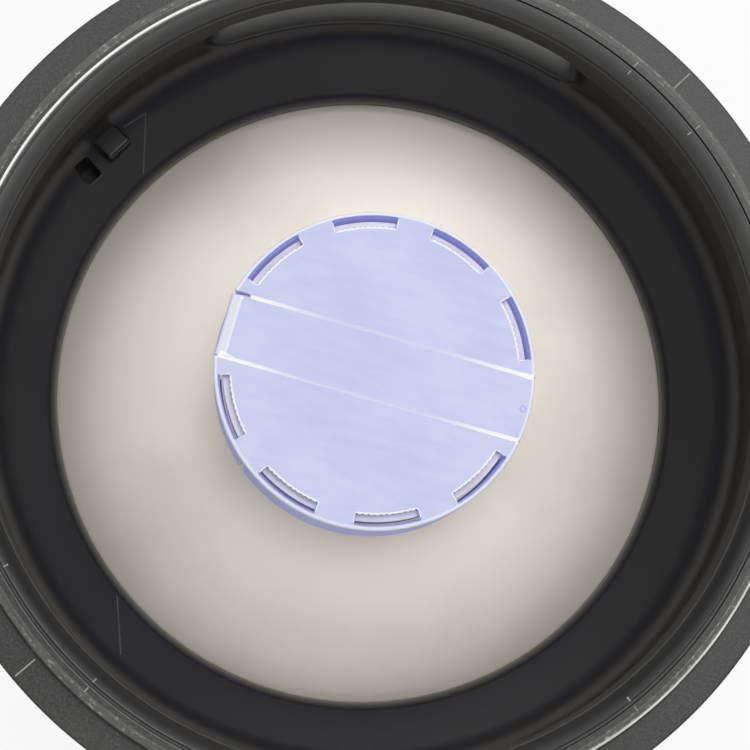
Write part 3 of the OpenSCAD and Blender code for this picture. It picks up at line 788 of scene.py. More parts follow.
COLUMNS = 240
WINDOW_LOW = 43 * MM
WINDOW_COLUMNS = 24
POCKET_COLUMNS = 5
POCKET_EDGE = 0.4 * MM
CHAMFER_FALL = 0.62
CHAMFER_ROUND = 0.35 * MM
GROOVE_SHARE = 0.75
GROOVE_ROUND = 0.1 * MM

# Mould lines: directions in degrees, radii and depths in millimetres
FLASH_SINK = 0.2 * MM
RING_SEAMS = (48.65, 225.65)
FOOT_SEAMS = (48.65, 228.65)
CREST_NICKS = (42.2, 54.65, 213.5, 233.2, 312)
NICK_FALL = ((106.1, 0), (105.6, 0), (104.8, 0.17))
ROUND_LINE = 103.1
SLOPE_LINES = (
    ((99.8, 133.1), (88.3, 139.9)),
    ((100.4, 137.3), (99.8, 133.1)),
    ((98.1, 232.5), (88.2, 224.7)),
)
WALL_LINES = (
    (311.5, (15.5, 19, 23, 26, 29)),
    (131.5, (15.5, 19, 23, 26, 29)),
    (308.6, (21, 23, 25)),
)


class RingForm:
    """Section of the handling ring, and the rows where its openings begin and end."""

    def __init__(self, s, v):
        top = s.crest_z
        _, high = barrel_ends(v)
        head = [(r, z + high) for r, z in head_curve(v, s.fit, s.lip_r, 16)]
        bowl = Vector((s.wall_r - s.bowl_r, top - s.bowl_drop))
        lip = Vector((s.lip_r + s.lip_edge, head[0][1] + s.lip_face))
        way = lip - bowl
        slope = math.degrees(math.atan2(way.y, way.x) + math.acos((s.bowl_r + s.lip_edge) / way.length))
        rows = [(s.bore_r, top - s.height)]
        rows += arc(s.outer_r - s.edge, top - s.height + s.edge, s.edge, -90, 0, 5)
        rows += [(s.outer_r, top - WINDOW_LOW)]
        self.out_low = len(rows) - 1
        rows += arc(s.outer_r - s.edge, top - s.shoulder - s.edge, s.edge, 0, 90)
        rows += arc(s.spigot_r + s.spigot_edge, top - s.shoulder + s.spigot_edge, s.spigot_edge, 270, 180)
        flat = (s.groove_r + 1 * MM, top)
        rows += rounded([(s.spigot_r, top - s.shoulder / 2), (s.spigot_r, top - s.chamfer * CHAMFER_FALL),
                         (s.spigot_r - s.chamfer, top), flat], CHAMFER_ROUND)[1:-1]
        half, deep = s.groove_w / 2, top - s.groove_h * GROOVE_SHARE
        inner_edge = s.groove_r - half - 0.1 * MM
        rows += rounded([flat, (s.groove_r + half, top), (s.groove_r + half - 0.15 * MM, deep),
                         (s.groove_r - half + 0.05 * MM, deep), (inner_edge, top),
                         (inner_edge - 0.4 * MM, top)], GROOVE_ROUND)
        rows += self.grip_roll(s, inner_edge - 0.45 * MM)
        self.in_high = len(rows) - 1
        rows += arc(s.wall_r, top - s.grip_drop, s.wall_r - s.grip_r, 180, 270)
        rows += [(s.wall_r, top - s.bowl_drop + lift * MM) for lift in (10, 6, 3)]
        rows += arc(bowl.x, bowl.y, s.bowl_r, 0, slope, 10)
        roll = arc(lip.x, lip.y, s.lip_edge, slope + 180, 180, 10)
        foot = Vector(rows[-1])
        rows += [tuple(foot.lerp(Vector(roll[0]), t)) for t in (0.25, 0.5, 0.75)]
        self.in_low = len(rows) - 1
        rows += roll
        self.lip_row = len(rows) - 1
        self.rows = rows + head
        self.inner = self.rows[self.in_high:self.lip_row + 1]

    def grip_roll(self, s, start):
        """Inner edge of the crest: a gentle fall, then a tighter roll into the grip bead's face."""
        x = start + s.grip_fall * math.sin(s.grip_tilt)
        z = s.crest_z - s.grip_fall * math.cos(s.grip_tilt)
        fall = math.asin((x - s.grip_r - s.grip_edge) / (s.grip_fall - s.grip_edge))
        turn = math.degrees(fall)
        rows = arc(x, z, s.grip_fall, 90 + math.degrees(s.grip_tilt), 90 + turn, 8)
        mid = Vector((x, z)) + (s.grip_fall - s.grip_edge) * Vector((-math.sin(fall), math.cos(fall)))
        return rows + arc(mid.x, mid.y, s.grip_edge, 90 + turn, 180, 6)[1:]

    def radius_at(self, z):
        """Radius of the inner wall and slope at a height."""
        for (ra, za), (rb, zb) in zip(self.inner, self.inner[1:]):
            if zb <= z <= za:
                return ra if za == zb else ra + (rb - ra) * (za - z) / (za - zb)
        return self.inner[0][0]

    def slope_at(self, reach):
        """Height of the slope at a radius, and its normal as (radial, up)."""
        for (ra, za), (rb, zb) in zip(self.inner, self.inner[1:]):
            if rb <= reach <= ra and ra != rb:
                along = Vector((rb - ra, zb - za)).normalized()
                return za + (zb - za) * (ra - reach) / (ra - rb), (along.y, -along.x)
        raise ValueError("radius is off the slope")


def turn_of(column):
    return math.tau * column / COLUMNS


def ring_windows(form):
    """Openings left in the turned ring: rows and columns, and the hand-hold or pocket that each takes."""
    quarter = COLUMNS // 4
    holes = []
    for middle in (quarter, 3 * quarter):
        columns = (middle - WINDOW_COLUMNS, middle + WINDOW_COLUMNS)
        holes.append(("hand_out", form.out_low, form.out_low + 1, *columns))
        holes.append(("hand_in", form.in_high, form.in_low, *columns))
    s = bpy.context.scene.keg_ring
    across = s.lug_w / 2 + s.pocket_gap + s.pocket_w / 2
    middle = round((s.lug_turn + math.atan2(across, s.wall_r)) / math.tau * COLUMNS)
    holes.append(("pocket", form.in_high, form.in_low, middle - POCKET_COLUMNS, middle + POCKET_COLUMNS))
    return holes


def hand_loop(s, grow):
    """Outline of a hand-hold in (across, height), grown by an amount."""
    top = s.crest_z - s.hand_drop
    return round_rectangle(-s.hand_w / 2 - grow, top - s.hand_h - grow, s.hand_w / 2 + grow, top + grow,
                           s.hand_r + grow, 4 * MM)


def pocket_loop(s, form, grow):
    """Outline of the pocket beside the lug as (turn, radius, height) on the slope, grown by an amount."""
    near, low = s.wall_r - s.lug_out, s.lug_w / 2 + s.pocket_gap
    plan = round_rectangle(near - grow, low - grow, near + s.pocket_l + grow, low + s.pocket_w + grow,
                           0.7 * MM + grow, 1.2 * MM, 4)
    loop = []
    for x, y in plan:
        reach = math.hypot(x, y)
        loop.append((s.lug_turn + math.atan2(y, x), reach, form.slope_at(reach)[0]))
    return loop


def fill_window(skin, s, form, window):
    """Close one opening of the turned ring round its hand-hold or pocket."""
    kind, row0, row1, col0, col1 = window
    rows = form.rows[row0:row1 + 1]
    heights = [z for _, z in rows]
    middle = turn_of((col0 + col1) // 2)

    def reach(z):
        return s.outer_r if kind == "hand_out" else form.radius_at(z)

    def flat(column, z):
        return ((turn_of(column) - middle) * s.wall_r, z)

    columns = range(col0, col1 + 1)
    outline = [flat(c, heights[0]) for c in columns]
    outline += [flat(col1, z) for z in heights[1:]]
    outline += [flat(c, heights[-1]) for c in reversed(columns[:-1])]
    outline += [flat(col0, z) for z in reversed(heights[1:-1])]
    if kind == "pocket":
        hole = [((turn - middle) * s.wall_r, z) for turn, _, z in pocket_loop(s, form, POCKET_EDGE)]
    else:
        grow = s.hand_out if kind == "hand_out" else s.hand_in
        hole = [(math.asin(x / reach(z)) * s.wall_r, z) for x, z in hand_loop(s, grow)]
    levels = heights[1:-1] or spread(heights[0], heights[-1], 9)[1:-1]
    spare = [flat(c, z) for c in columns[1:-1] for z in levels]
    keep_off = (0.5 if kind == "pocket" else 1.5) * MM
    spare = [p for p in spare
             if not inside(p, hole) and min((Vector(p) - Vector(q)).length for q in hole) > keep_off]

    def place(u, z):
        return polar(reach(z), middle + u / s.wall_r, z)

    skin.fill([outline, hole], place, spare)


def beside(turn, out, x, z):
    """Point at a distance out along a direction, and x across from it."""
    c, s = math.cos(turn), math.sin(turn)
    return (out * c - x * s, out * s + x * c, z)


def on_wall(middle, x, reach, z):
    """Point at a radius, x across from the direction middle."""
    return beside(middle, math.sqrt(reach * reach - x * x), x, z)


def hand_tunnel(skin, s, form, middle):
    """Inside of a hand-hold, with rounded edges at both ends."""
    rings = []
    for out, fall in quarter(8):
        loop = hand_loop(s, s.hand_out * out)
        rings.append([on_wall(middle, -x, s.outer_r - s.hand_out * fall, z) for x, z in loop])
    outer = s.outer_r - s.hand_out
    for share in (0.35, 0.7):
        rings.append([on_wall(middle, -x, outer * (1 - share) + (form.radius_at(z) + s.hand_in) * share, z)
                      for x, z in loop])
    for out, fall in reversed(quarter(4)):
        loop = hand_loop(s, s.hand_in * out)
        rings.append([on_wall(middle, -x, form.radius_at(z) + s.hand_in * fall, z) for x, z in loop])
    skin.loft(rings, caps=False)


def lug_pocket(skin, s, form):
    """Deep pocket in the slope beside the lug."""
    rings = []
    for out, fall in quarter(4):
        loop = pocket_loop(s, form, POCKET_EDGE * out)
        rings.append([polar(reach, turn, z - POCKET_EDGE * fall) for turn, reach, z in loop])
    floor = s.crest_z - s.lug_drop - s.pocket_h
    rings.append([polar(reach, turn, floor) for turn, reach, _ in loop])
    rows = skin.loft(rings, caps=False)
    skin.faces.append(tuple(rows[-1]))


def ring_lug(s):
    """Moulded lug on the inner wall, with rounded edges."""
    top, half = s.crest_z - s.lug_drop, s.lug_w / 2
    front, back = s.wall_r - s.lug_out, s.wall_r + 2 * MM
    rings = []
    for out, fall in quarter(5):
        shrink = s.lug_edge * out
        loop = round_rectangle(-half + shrink, top - s.lug_h + shrink, half - shrink, top - shrink,
                               max(0.1 * MM, s.lug_edge - shrink), 2 * MM, 4)
        rings.append([beside(s.lug_turn, front + s.lug_edge * fall, x, z) for x, z in loop])
    rings.append([beside(s.lug_turn, back, x, z) for x, z in loop])
    return lofted(rings)


def upright(turn, reach, z, radial, up):
    """A point at a radius with its surface normal, for a ridge."""
    return Vector(polar(reach, turn, z)), Vector(polar(radial, turn, up))


def slope_line(form, ends):
    """Path on the slope between two points, each a radius in millimetres and a direction in degrees."""
    first, last = (Vector(polar(r * MM, math.radians(t))) for r, t in ends)
    count = 9
    path = []
    for i in range(count):
        spot = first.lerp(last, i / (count - 1))
        z, (radial, up) = form.slope_at(spot.length)
        path.append(upright(math.atan2(spot.y, spot.x), spot.length, z, radial, up))
    return path


def ring_flash(s, form):
    """Lines that the mould leaves on the ring."""
    skin = Skin()
    top = s.crest_z

    def seam(path, width, height):
        skin.rib(path, width * MM, height * MM, FLASH_SINK)

    for turn in map(math.radians, RING_SEAMS):
        path = [upright(turn, r * MM, top - s.shoulder, 0, 1) for r in (112.6, 114, 116, 118, 118.8)]
        path += [upright(turn, s.outer_r, top - drop * MM, 1, 0) for drop in (6.4, 20, 60, 103)]
        seam(path, 0.55, 0.12)
    for turn in map(math.radians, CREST_NICKS):
        seam([upright(turn, r * MM, top, 0, 1) for r in (109.2, 108.4, 107.6)], 0.5, 0.1)
        seam([upright(turn, r * MM, top - drop * MM, -0.3, 0.95) for r, drop in NICK_FALL], 0.55, 0.12)
    for ends in SLOPE_LINES:
        seam(slope_line(form, ends), 0.6, 0.15)
    z, normal = form.slope_at(ROUND_LINE * MM)
    seam([upright(math.radians(217.5 + i), ROUND_LINE * MM, z, *normal) for i in range(18)], 0.7, 0.12)
    for turn, drops in WALL_LINES:
        seam([upright(math.radians(turn), s.wall_r, top - drop * MM, -1, 0) for drop in drops], 0.6, 0.15)
    return skin


class KEG_OT_handling_ring(bpy.types.Operator):
    """Build the handling ring with its hand-holds, lug and mould lines"""

    bl_idname = "keg.handling_ring"
    bl_label = "Handling ring"

    def execute(self, context):
        s, v = context.scene.keg_ring, context.scene.keg_vessel
        form = RingForm(s, v)
        windows = ring_windows(form)
        skin = Skin()
        skin.turned(form.rows, COLUMNS, windows)
        for window in windows:
            fill_window(skin, s, form, window)
        for middle in (math.pi / 2, 3 * math.pi / 2):
            hand_tunnel(skin, s, form, middle)
        lug_pocket(skin, s, form)
        black = finish(moulded_black, "moulded_black", s.crest_z)
        line = finish(mould_line_black, "mould_line_black", s.crest_z)
        make_piece("handling_ring", skin, black, "keg", ("top_ring",))
        make_piece("ring_lug", ring_lug(s), black, "keg")
        make_piece("ring_flash", ring_flash(s, form), line, "keg", weld=False)
        return {"FINISHED"}


class KEG_OT_foot_ring(bpy.types.Operator):
    """Build the foot ring with its stacking socket"""

    bl_idname = "keg.foot_ring"
    bl_label = "Foot ring"

    def execute(self, context):
        s, v = context.scene.keg_ring, context.scene.keg_vessel
        low, _ = barrel_ends(v)
        dish = [(r, low - z) for r, z in reversed(head_curve(v, s.fit, s.foot_lip, 16))]
        section = [(s.socket_r + s.socket_lead, 0)]
        section += arc(s.outer_r - s.edge, s.edge, s.edge, -90, 0)
        section += arc(s.outer_r - s.edge, s.foot_h - s.edge, s.edge, 0, 90)
        section += [(s.bore_r, s.foot_h), *dish, (s.foot_lip, s.socket_h), (s.socket_r, s.socket_h),
                    (s.socket_r, s.socket_lead)]
        skin = Skin()
        skin.turned(section, COLUMNS)
        black = finish(moulded_black, "moulded_black", s.crest_z)
        make_piece("base_ring", skin, black, "keg", ("foot_ring",))
        flash = Skin()
        for turn in map(math.radians, FOOT_SEAMS):
            path = [upright(turn, s.outer_r, z * MM, 1, 0) for z in (1.6, 20, 40, 60, 78.4)]
            flash.rib(path, 0.6 * MM, 0.28 * MM, FLASH_SINK)
        make_piece("base_flash", flash, black, "keg", weld=False)
        return {"FINISHED"}


# Vessel

SHELL_COLUMNS = 192
BEAD_COLUMNS = 960
BEAD_RIPPLES = 180
RIPPLE_LAG = 1.2


def girth_bead(v, girth):
    """Weld bead round the barrel, rippled outside and with its root inside."""
    half, bore = v.weld_h / 2, v.radius - v.sheet
    root = bore - v.weld_crown
    turns = around(BEAD_COLUMNS)
    rings = []
    for out, up in arc(0, 0, 1, -90, 90, 10):
        ring = []
        for t in turns:
            ripple = abs(math.sin(BEAD_RIPPLES / 2 * t + RIPPLE_LAG * up * up))
            reach = v.radius + (v.weld_crown - v.weld_ripple * ripple) * max(out, 0)
            ring.append(polar(reach, t, girth + half * up))
        rings.append(ring)
    for reach, up in ((bore, half), (root, half / 2), (root, -half / 2), (bore, -half)):
        rings.append([polar(reach, t, girth + up) for t in turns])
    return lofted(rings, loop=True)


class KEG_OT_vessel(bpy.types.Operator):
    """Build the two half shells and the weld that joins them"""

    bl_idname = "keg.vessel"
    bl_label = "Vessel"

    def execute(self, context):
        v = context.scene.keg_vessel
        low, high = barrel_ends(v)
        girth = (low + high) / 2
        bore = v.radius - v.sheet
        steel = finish(satin_steel, "satin_steel", girth)
        halves = (("upper_half", "upper_shell", high, 1, v.neck_hole),
                  ("lower_half", "lower_shell", low, -1, 0))
        for name, node, end, up, hole in halves:
            outer, inner = ([(r, end + up * z) for r, z in head_curve(v, off, hole, 28)]
                            for off in (0, -v.sheet))
            edge = girth + up * v.weld_h / 2
            skin = Skin()
            skin.turned(outer + [(v.radius, edge), (bore, edge)] + inner[::-1], SHELL_COLUMNS)
            make_piece(name, skin, steel, "keg", (node,))
        bead = finish(weld_metal, "weld_metal")
        make_piece("girth_bead", girth_bead(v, girth), bead, "keg", ("girth_weld",))
        return {"FINISHED"}


# Fitting


def coil(node, wire, turns, end_gap):
    """Round wire wound into a spring in a CAD spring's place, with its end turns nearly closed."""
    low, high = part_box(node)
    half, sides, steps = wire / 2, 12, 36
    # The CAD wire has six sides, flat above and below
    flat = half * math.cos(math.pi / 6)
    start, span, radius = low.z + flat, high.z - low.z - 2 * flat, high.x - half
    closed = wire + end_gap
    pitch = (span - 2 * closed) / (turns - 2)
    rings = []
    for i in range(turns * steps + 1):
        t = i / steps
        z = start + min(t, 1) * closed + min(max(t - 1, 0), turns - 2) * pitch
        z += max(t - turns + 1, 0) * closed
        rings.append([polar(radius + half * math.cos(a), math.tau * t, z + half * math.sin(a))
                      for a in around(sides)])
    return lofted(rings)


class KEG_OT_fitting(bpy.types.Operator):
    """Finish the neck, the fitting and the valves in their CAD shapes, and wind their springs"""

    bl_idname = "keg.fitting"
    bl_label = "Fitting and valves"

    def execute(self, context):
        steel = finish(turned_steel, "turned_steel")
        rubber = finish(rubber_black, "rubber_black")
        for node in ("neck_boss", "fitting_body", "valve_seat", "safety_ring", "spring_cage",
                     "seal_carrier", "down_tube", "spring_seat", "beer_ball"):
            dress(node, steel)
        s = context.scene.keg_fitting
        springs = (
            ("gas_coil", "gas_spring", "keg", "gas_valve_travel", s.gas_wire, s.gas_turns, s.gas_travel),
            ("ball_coil", "ball_spring", "gas_valve", "beer_valve_travel",
             s.ball_wire, s.ball_turns, s.ball_travel),
        )
        for name, node, body, joint, wire, turns, travel in springs:
            skin = coil(node, wire, turns, s.end_gap)
            piece = make_piece(name, skin, steel, body, (node,), weld=False)
            low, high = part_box(node)
            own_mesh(piece)
        dress("neck_weld", finish(weld_metal, "weld_metal"))
        for node in ("neck_seal", "gas_seal"):
            dress(node, rubber)
        return {"FINISHED"}


# Cap

CAP_COLUMNS = 120
CUT_CLEAR = 0.006
EDGE_ROLL = 0.08 * MM
SLIT_ZONE = 8 * MM
SLIT_RUN = 0.6 * MM
FINE_PITCH = 0.4 * MM
PLAIN_PITCH = 2 * MM
SLOT_ROLL = 0.18 * MM
CORNER_ROLL = 0.5 * MM
PULL_THINNING = 0.2
WEB_FOOT = 1.1 * MM
LIP_SINK = 0.12 * MM
GATE_X, GATE_Y = 39.5, 0.6
# Share of the deeper tint on the gate ring: painted shade, where the real ring is sunk.
GATE_TINT = 0.5
UP = Vector((0, 0, 1))


def cap_place(c):
    """Map from the cap's own frame, with the strip along X and the top at 0, to the keg's."""
    move = Matrix.Translation((0, 0, c.top_z)) @ Matrix.Rotation(c.strip_turn, 4, "Z")
    return lambda x, y, drop=0.0: move @ Vector((x, y, -drop))


def strip_edges(c):
    return c.strip_shift - c.strip_w / 2, c.strip_shift + c.strip_w / 2


def slot_turns(c, side):
    """Directions of the slots in one half of the cap."""
    low, high = strip_edges(c)
    edge = math.asin((high if side > 0 else -low) / c.radius)
    share = (math.pi - 2 * edge) / 4
    return [side * (edge + share * (i + 0.5)) for i in range(4)]


def slot_loop(c, turn):
    """Outline of a slot, clockwise."""
    out_r, q, half = c.radius - c.slot_rim, c.slot_r, c.slot_span / 2
    in_r = out_r - c.slot_w

    def corner(reach, sign, start):
        base = turn + sign * (half - math.asin(q / reach))
        x, y = polar(reach, base)
        bend = [base + math.radians(start + 90 * i / 4) for i in range(5)]
        return [(x + q * math.cos(a), y + q * math.sin(a)) for a in bend]

    def sweep(reach, sign):
        off = half - math.asin(q / (reach - q if reach == out_r else reach + q))
        return [polar(reach, turn + sign * off * i / 8) for i in range(-7, 8)]

    loop = corner(out_r - q, 1, 0) + corner(in_r + q, 1, 90) + sweep(in_r, -1)
    loop += corner(in_r + q, -1, 180) + corner(out_r - q, -1, 270) + sweep(out_r, 1)
    return loop[::-1]


def half_plate(skin, c, side, place):
    """One half of the cap's top beside the strip, cut back a little where the upper tear line has opened."""
    low, high = strip_edges(c)
    y = high + c.tear_gap / 2 if side > 0 else low - c.tear_gap / 2
    notch = c.open_w if side > 0 else 0.0
    start, end = math.asin(abs(y) / c.radius), math.pi - math.asin((abs(y) + notch) / c.radius)
    count = 72
    outline = [polar(c.radius, side * t) for t in spread(start, end, count)]
    left, right = outline[-1][0], outline[0][0]
    near = left + SLIT_ZONE
    edge_line = straight((left, y), (near, y), FINE_PITCH) + straight((near, y), (right, y), PLAIN_PITCH)
    for x, _ in edge_line[1:]:
        opened = min(1.0, max(0.0, (-c.open_x - x) / SLIT_RUN))
        outline.append((x, y + side * notch * opened))
    rolls = [c.rim] * (count + 1) + [EDGE_ROLL] * (len(outline) - count - 1)
    rolls[0] = rolls[count] = CORNER_ROLL
    if side < 0:
        outline.reverse()
        rolls.reverse()
    holes = [slot_loop(c, turn) for turn in slot_turns(c, side)]
    skin.plate(outline, holes, c.plate, rolls, SLOT_ROLL, place)


def cap_top(c, place):
    """Top of the cap, in two halves beside the strip."""
    skin = Skin()
    for side in (1, -1):
        half_plate(skin, c, side, place)
    return skin


def cap_skirt(c, place):
    """Skirt with its slits and the openings at the strip's ends."""
    low, high = strip_edges(c)
    out_r, in_r = c.radius, c.radius - c.skirt_t
    cut = c.plate + c.tear_gap
    pull = [math.pi - math.asin(y / out_r) for y in (high + c.pull_gap, low - c.pull_gap)]
    fold = [math.asin(y / out_r) for y in (low - c.tear_gap / 2, high + c.tear_gap / 2)]

    def apart(a, b):
        return abs((a - b + math.pi) % math.tau - math.pi)
    slits = []
    for side in (1, -1):
        turns = slot_turns(c, side)
        middle = (turns[3] + turns[2]) / 2 % math.tau
        slits.append((middle - c.slit_w / 2 / out_r, middle + c.slit_w / 2 / out_r))
    lines = set(around(CAP_COLUMNS))
    for a, b in (pull, fold, *slits):
        lines = {t for t in lines if min(apart(t, a), apart(t, b)) > CUT_CLEAR}
        lines |= {a % math.tau, b % math.tau}
    turns = sorted(lines)
    drops = [c.plate, cut, c.slit_top, c.pull_h + c.pull_gap, c.skirt_h]
    count, levels = len(turns), len(drops) - 1

    def within(middle, span):
        width = (span[1] - span[0]) % math.tau
        return (middle - span[0]) % math.tau < width

    def kept(i, j):
        if not 0 <= j < levels:
            return False
        i %= count
        middle = turns[i] + ((turns[(i + 1) % count] - turns[i]) % math.tau) / 2
        drop = (drops[j] + drops[j + 1]) / 2
        if within(middle, fold) and drop < cut:
            return False
        if within(middle, pull) and drop < c.pull_h + c.pull_gap:
            return False
        return not (drop > c.slit_top and any(within(middle, slit) for slit in slits))

    skin = Skin()
    grid = {}
    for reach in (out_r, in_r):
        for j, drop in enumerate(drops):
            row = skin.add([place(*polar(reach, t, drop)) for t in turns])
            for i, number in enumerate(row):
                grid[reach, i, j] = number

    def corner(reach, i, j):
        return grid[reach, i % count, j]

    for i in range(count):
        for j in range(levels):
            if not kept(i, j):
                continue
            square = ((i, j), (i + 1, j), (i + 1, j + 1), (i, j + 1))
            for reach in (out_r, in_r):
                skin.faces.append(tuple(corner(reach, *p) for p in square))
            beyond = ((i, j - 1), (i + 1, j), (i, j + 1), (i - 1, j))
            for k, other in enumerate(beyond):
                if not kept(*other):
                    a, b = square[k], square[(k + 1) % 4]
                    skin.faces.append((corner(out_r, *a), corner(out_r, *b),
                                       corner(in_r, *b), corner(in_r, *a)))
    return skin


def snap_ribs(c, place):
    """Ribs inside the skirt that snap under the flange."""
    wall = c.radius - c.skirt_t / 2
    section = ((c.snap_r, c.snap_top + c.snap_h / 2), (wall, c.snap_top + c.snap_h), (wall, c.snap_top))
    skin = Skin()
    for turn in slot_turns(c, 1) + slot_turns(c, -1):
        turns = [turn + c.slot_span * (i / 10 - 0.5) for i in range(11)]
        skin.loft([[place(*polar(r, t, drop)) for r, drop in section] for t in turns])
    return skin


def strip_section(c):
    """Section of the strip as (across, depth), with rolled upper edges."""
    low, high = strip_edges(c)
    low, high, roll = low + c.tear_gap / 2, high - c.tear_gap / 2, EDGE_ROLL
    points = [(high, c.plate)]
    points += [(x, -z) for x, z in arc(high - roll, -roll, roll, 0, 90, 4)]
    points += [(y, 0.0) for y in (high - 3 * MM, c.strip_shift, low + 3 * MM)]
    points += [(x, -z) for x, z in arc(low + roll, -roll, roll, 90, 180, 4)]
    return points + [(low, c.plate)]


def pull_path(c):
    """Outer line of the pull end as (x, drop, tilt), from its lower edge up to the flat of the strip."""
    bend, slope = c.pull_bend, c.pull_slope
    run, fall = c.pull_bevel * math.cos(slope), c.pull_bevel * math.sin(slope)
    start = -c.pull_x + bend + run
    upper, lower = spread(0, slope, 6), spread(slope, math.pi / 2, 6)
    path = [(start - bend * math.sin(t), bend * (1 - math.cos(t)), t) for t in upper]
    path += [(start - run - bend * math.sin(t), fall + bend * (1 - math.cos(t)), t) for t in lower]
    face = spread(path[-1][1], c.pull_h, 4)[1:]
    path += [(-c.pull_x, drop, math.pi / 2) for drop in face]
    return path[::-1]


def pull_strip(c, place):
    """Strip from the pull end, round its bends and along to the folding end."""
    section = strip_section(c)
    rings = []
    for x, drop, tilt in pull_path(c):
        thin = 1 - PULL_THINNING * min(1.0, tilt / c.pull_slope)
        rings.append([place(x + depth * thin * math.sin(tilt), y, drop + depth * thin * math.cos(tilt))
                      for y, depth in section])
    start, count = x, 24
    for i in range(1, count + 1):
        ring = []
        for y, depth in section:
            end = math.sqrt(c.radius ** 2 - y * y) - c.rim
            ring.append(place(start + (end - start) * i / count, y, depth))
        rings.append(ring)
    for out, fall in quarter(6)[1:]:
        ring = []
        for y, depth in section:
            end = math.sqrt(c.radius ** 2 - y * y) - c.rim * out
            ring.append(place(end, y, max(depth, c.rim * fall)))
        rings.append(ring)
    return lofted(rings)


def tear_span(c, edge, side):
    """Ends of a tear line along the cap: the upper one starts where its slit ends."""
    half = math.sqrt(c.radius ** 2 - edge * edge) - 0.5 * MM
    return (-c.open_x if side > 0 else 0.4 * MM - half), half


def tear_webs(c, place, draw):
    """Thin webs that hold the strip until it is torn, just under the surface, and the lips beside them."""
    skin = Skin()
    low, high = strip_edges(c)
    for edge, side in ((low, -1), (high, 1)):
        inner, outer = edge - side * c.tear_gap * 0.47, edge + side * c.tear_gap * 0.52
        middle = (inner + outer) / 2
        first, last = tear_span(c, edge, side)
        rings = []
        for x in spread(first, last, 40):
            top = (0.01 + 0.03 * (1 - (x / last) ** 4)) * MM
            edges = top + 0.02 * MM
            section = ((inner, edges), (middle, top), (outer, edges), (outer, WEB_FOOT), (inner, WEB_FOOT))
            rings.append([place(x, y, drop) for y, drop in section])
        skin.loft(rings)
    torn_lip(skin, c, place, draw, on_strip=False)
    return skin


def torn_lip(skin, c, place, draw, on_strip):
    """Low ragged lips that stretching has raised beside the tear lines, on the strip or on the plate."""
    low, high = strip_edges(c)
    for edge, side in ((low, -1), (high, 1)):
        first, last = tear_span(c, edge, side)
        away = -side if on_strip else side
        path, widths, heights = [], [], []
        count = 90
        for i in range(count + 1):
            x = first + 0.2 * MM + (last - first - 0.4 * MM) * i / count
            # How far into the last few millimetres before the rim, at either end
            to_left, to_right = max(0.0, -x / MM - 35.5) / 3, max(0.0, x / MM - 30) / 9
            wide = (0.32 + draw.uniform(-0.06, 0.06)) * MM
            if on_strip and side < 0:
                wide += (1.0 * min(1.0, to_left) + 0.2 * min(1.0, to_right)) * MM
            elif side > 0:
                wide += 0.3 * min(1.0, to_right) ** 3 * MM
            y = edge + away * (c.tear_gap / 2 + wide * 0.42)
            path.append((place(x, y), UP))
            widths.append(wide)
            heights.append(draw.uniform(0.008, 0.02) * MM)
        skin.rib(path, widths, heights, LIP_SINK)


def strip_burrs(c, place, draw):
    """Torn lips along the strip, and a nib near its pull end."""
    skin = Skin()
    torn_lip(skin, c, place, draw, on_strip=True)
    nib = [(place(x * MM, 8.2 * MM), UP) for x in (-38.3, -38, -37.7)]
    skin.rib(nib, 0.8 * MM, [0.04 * MM, 0.14 * MM, 0.04 * MM], LIP_SINK)
    return skin


def slot_burrs(c, place, draw):
    """Scalloped burrs along the inner edges of the slots, thinner at their ends."""
    reach = c.radius - c.slot_rim - c.slot_w
    half = c.slot_span / 2
    end = [(reach + up * MM, half, 0.32) for up in (2.7, 2.1, 1.5, 0.9, 0.35)]
    turn_in = [(reach + 0.1 * MM, half - 0.006, 0.36)]
    count = 60
    sweep = []
    for i in range(count + 1):
        scallop = abs(math.sin(math.pi * i / 6))
        wave = reach + (0.12 * scallop - 0.08) * MM
        sweep.append((wave, (half - 0.014) * (1 - 2 * i / count), 0.42 + 0.26 * scallop))
    spots = end + turn_in + sweep + [(r, -t, w) for r, t, w in (end + turn_in)[::-1]]
    skin = Skin()
    for turn in slot_turns(c, 1) + slot_turns(c, -1):
        path, widths, heights = [], [], []
        for r, off, wide in spots:
            r += draw.uniform(-0.05, 0.05) * MM
            path.append((place(*polar(r, turn + off, 0.03 * MM)), UP))
            widths.append((wide + draw.uniform(-0.05, 0.05)) * MM)
            heights.append(draw.uniform(0.05, 0.16) * MM)
        skin.rib(path, widths, heights, 0.15 * MM)
    return skin


def gate_mark(place):
    """Low ring where the plastic ran into the mould, with its section as (radius, height) in millimetres."""
    section = ((0.45, -0.2), (0.5, 0.02), (0.62, 0.08), (0.85, 0.08), (0.97, 0.02), (1.0, -0.2))
    rings = [[place((GATE_X + r * math.cos(t)) * MM, (GATE_Y + r * math.sin(t)) * MM, -z * MM)
              for t in around(32)] for r, z in section]
    return lofted(rings, loop=True)


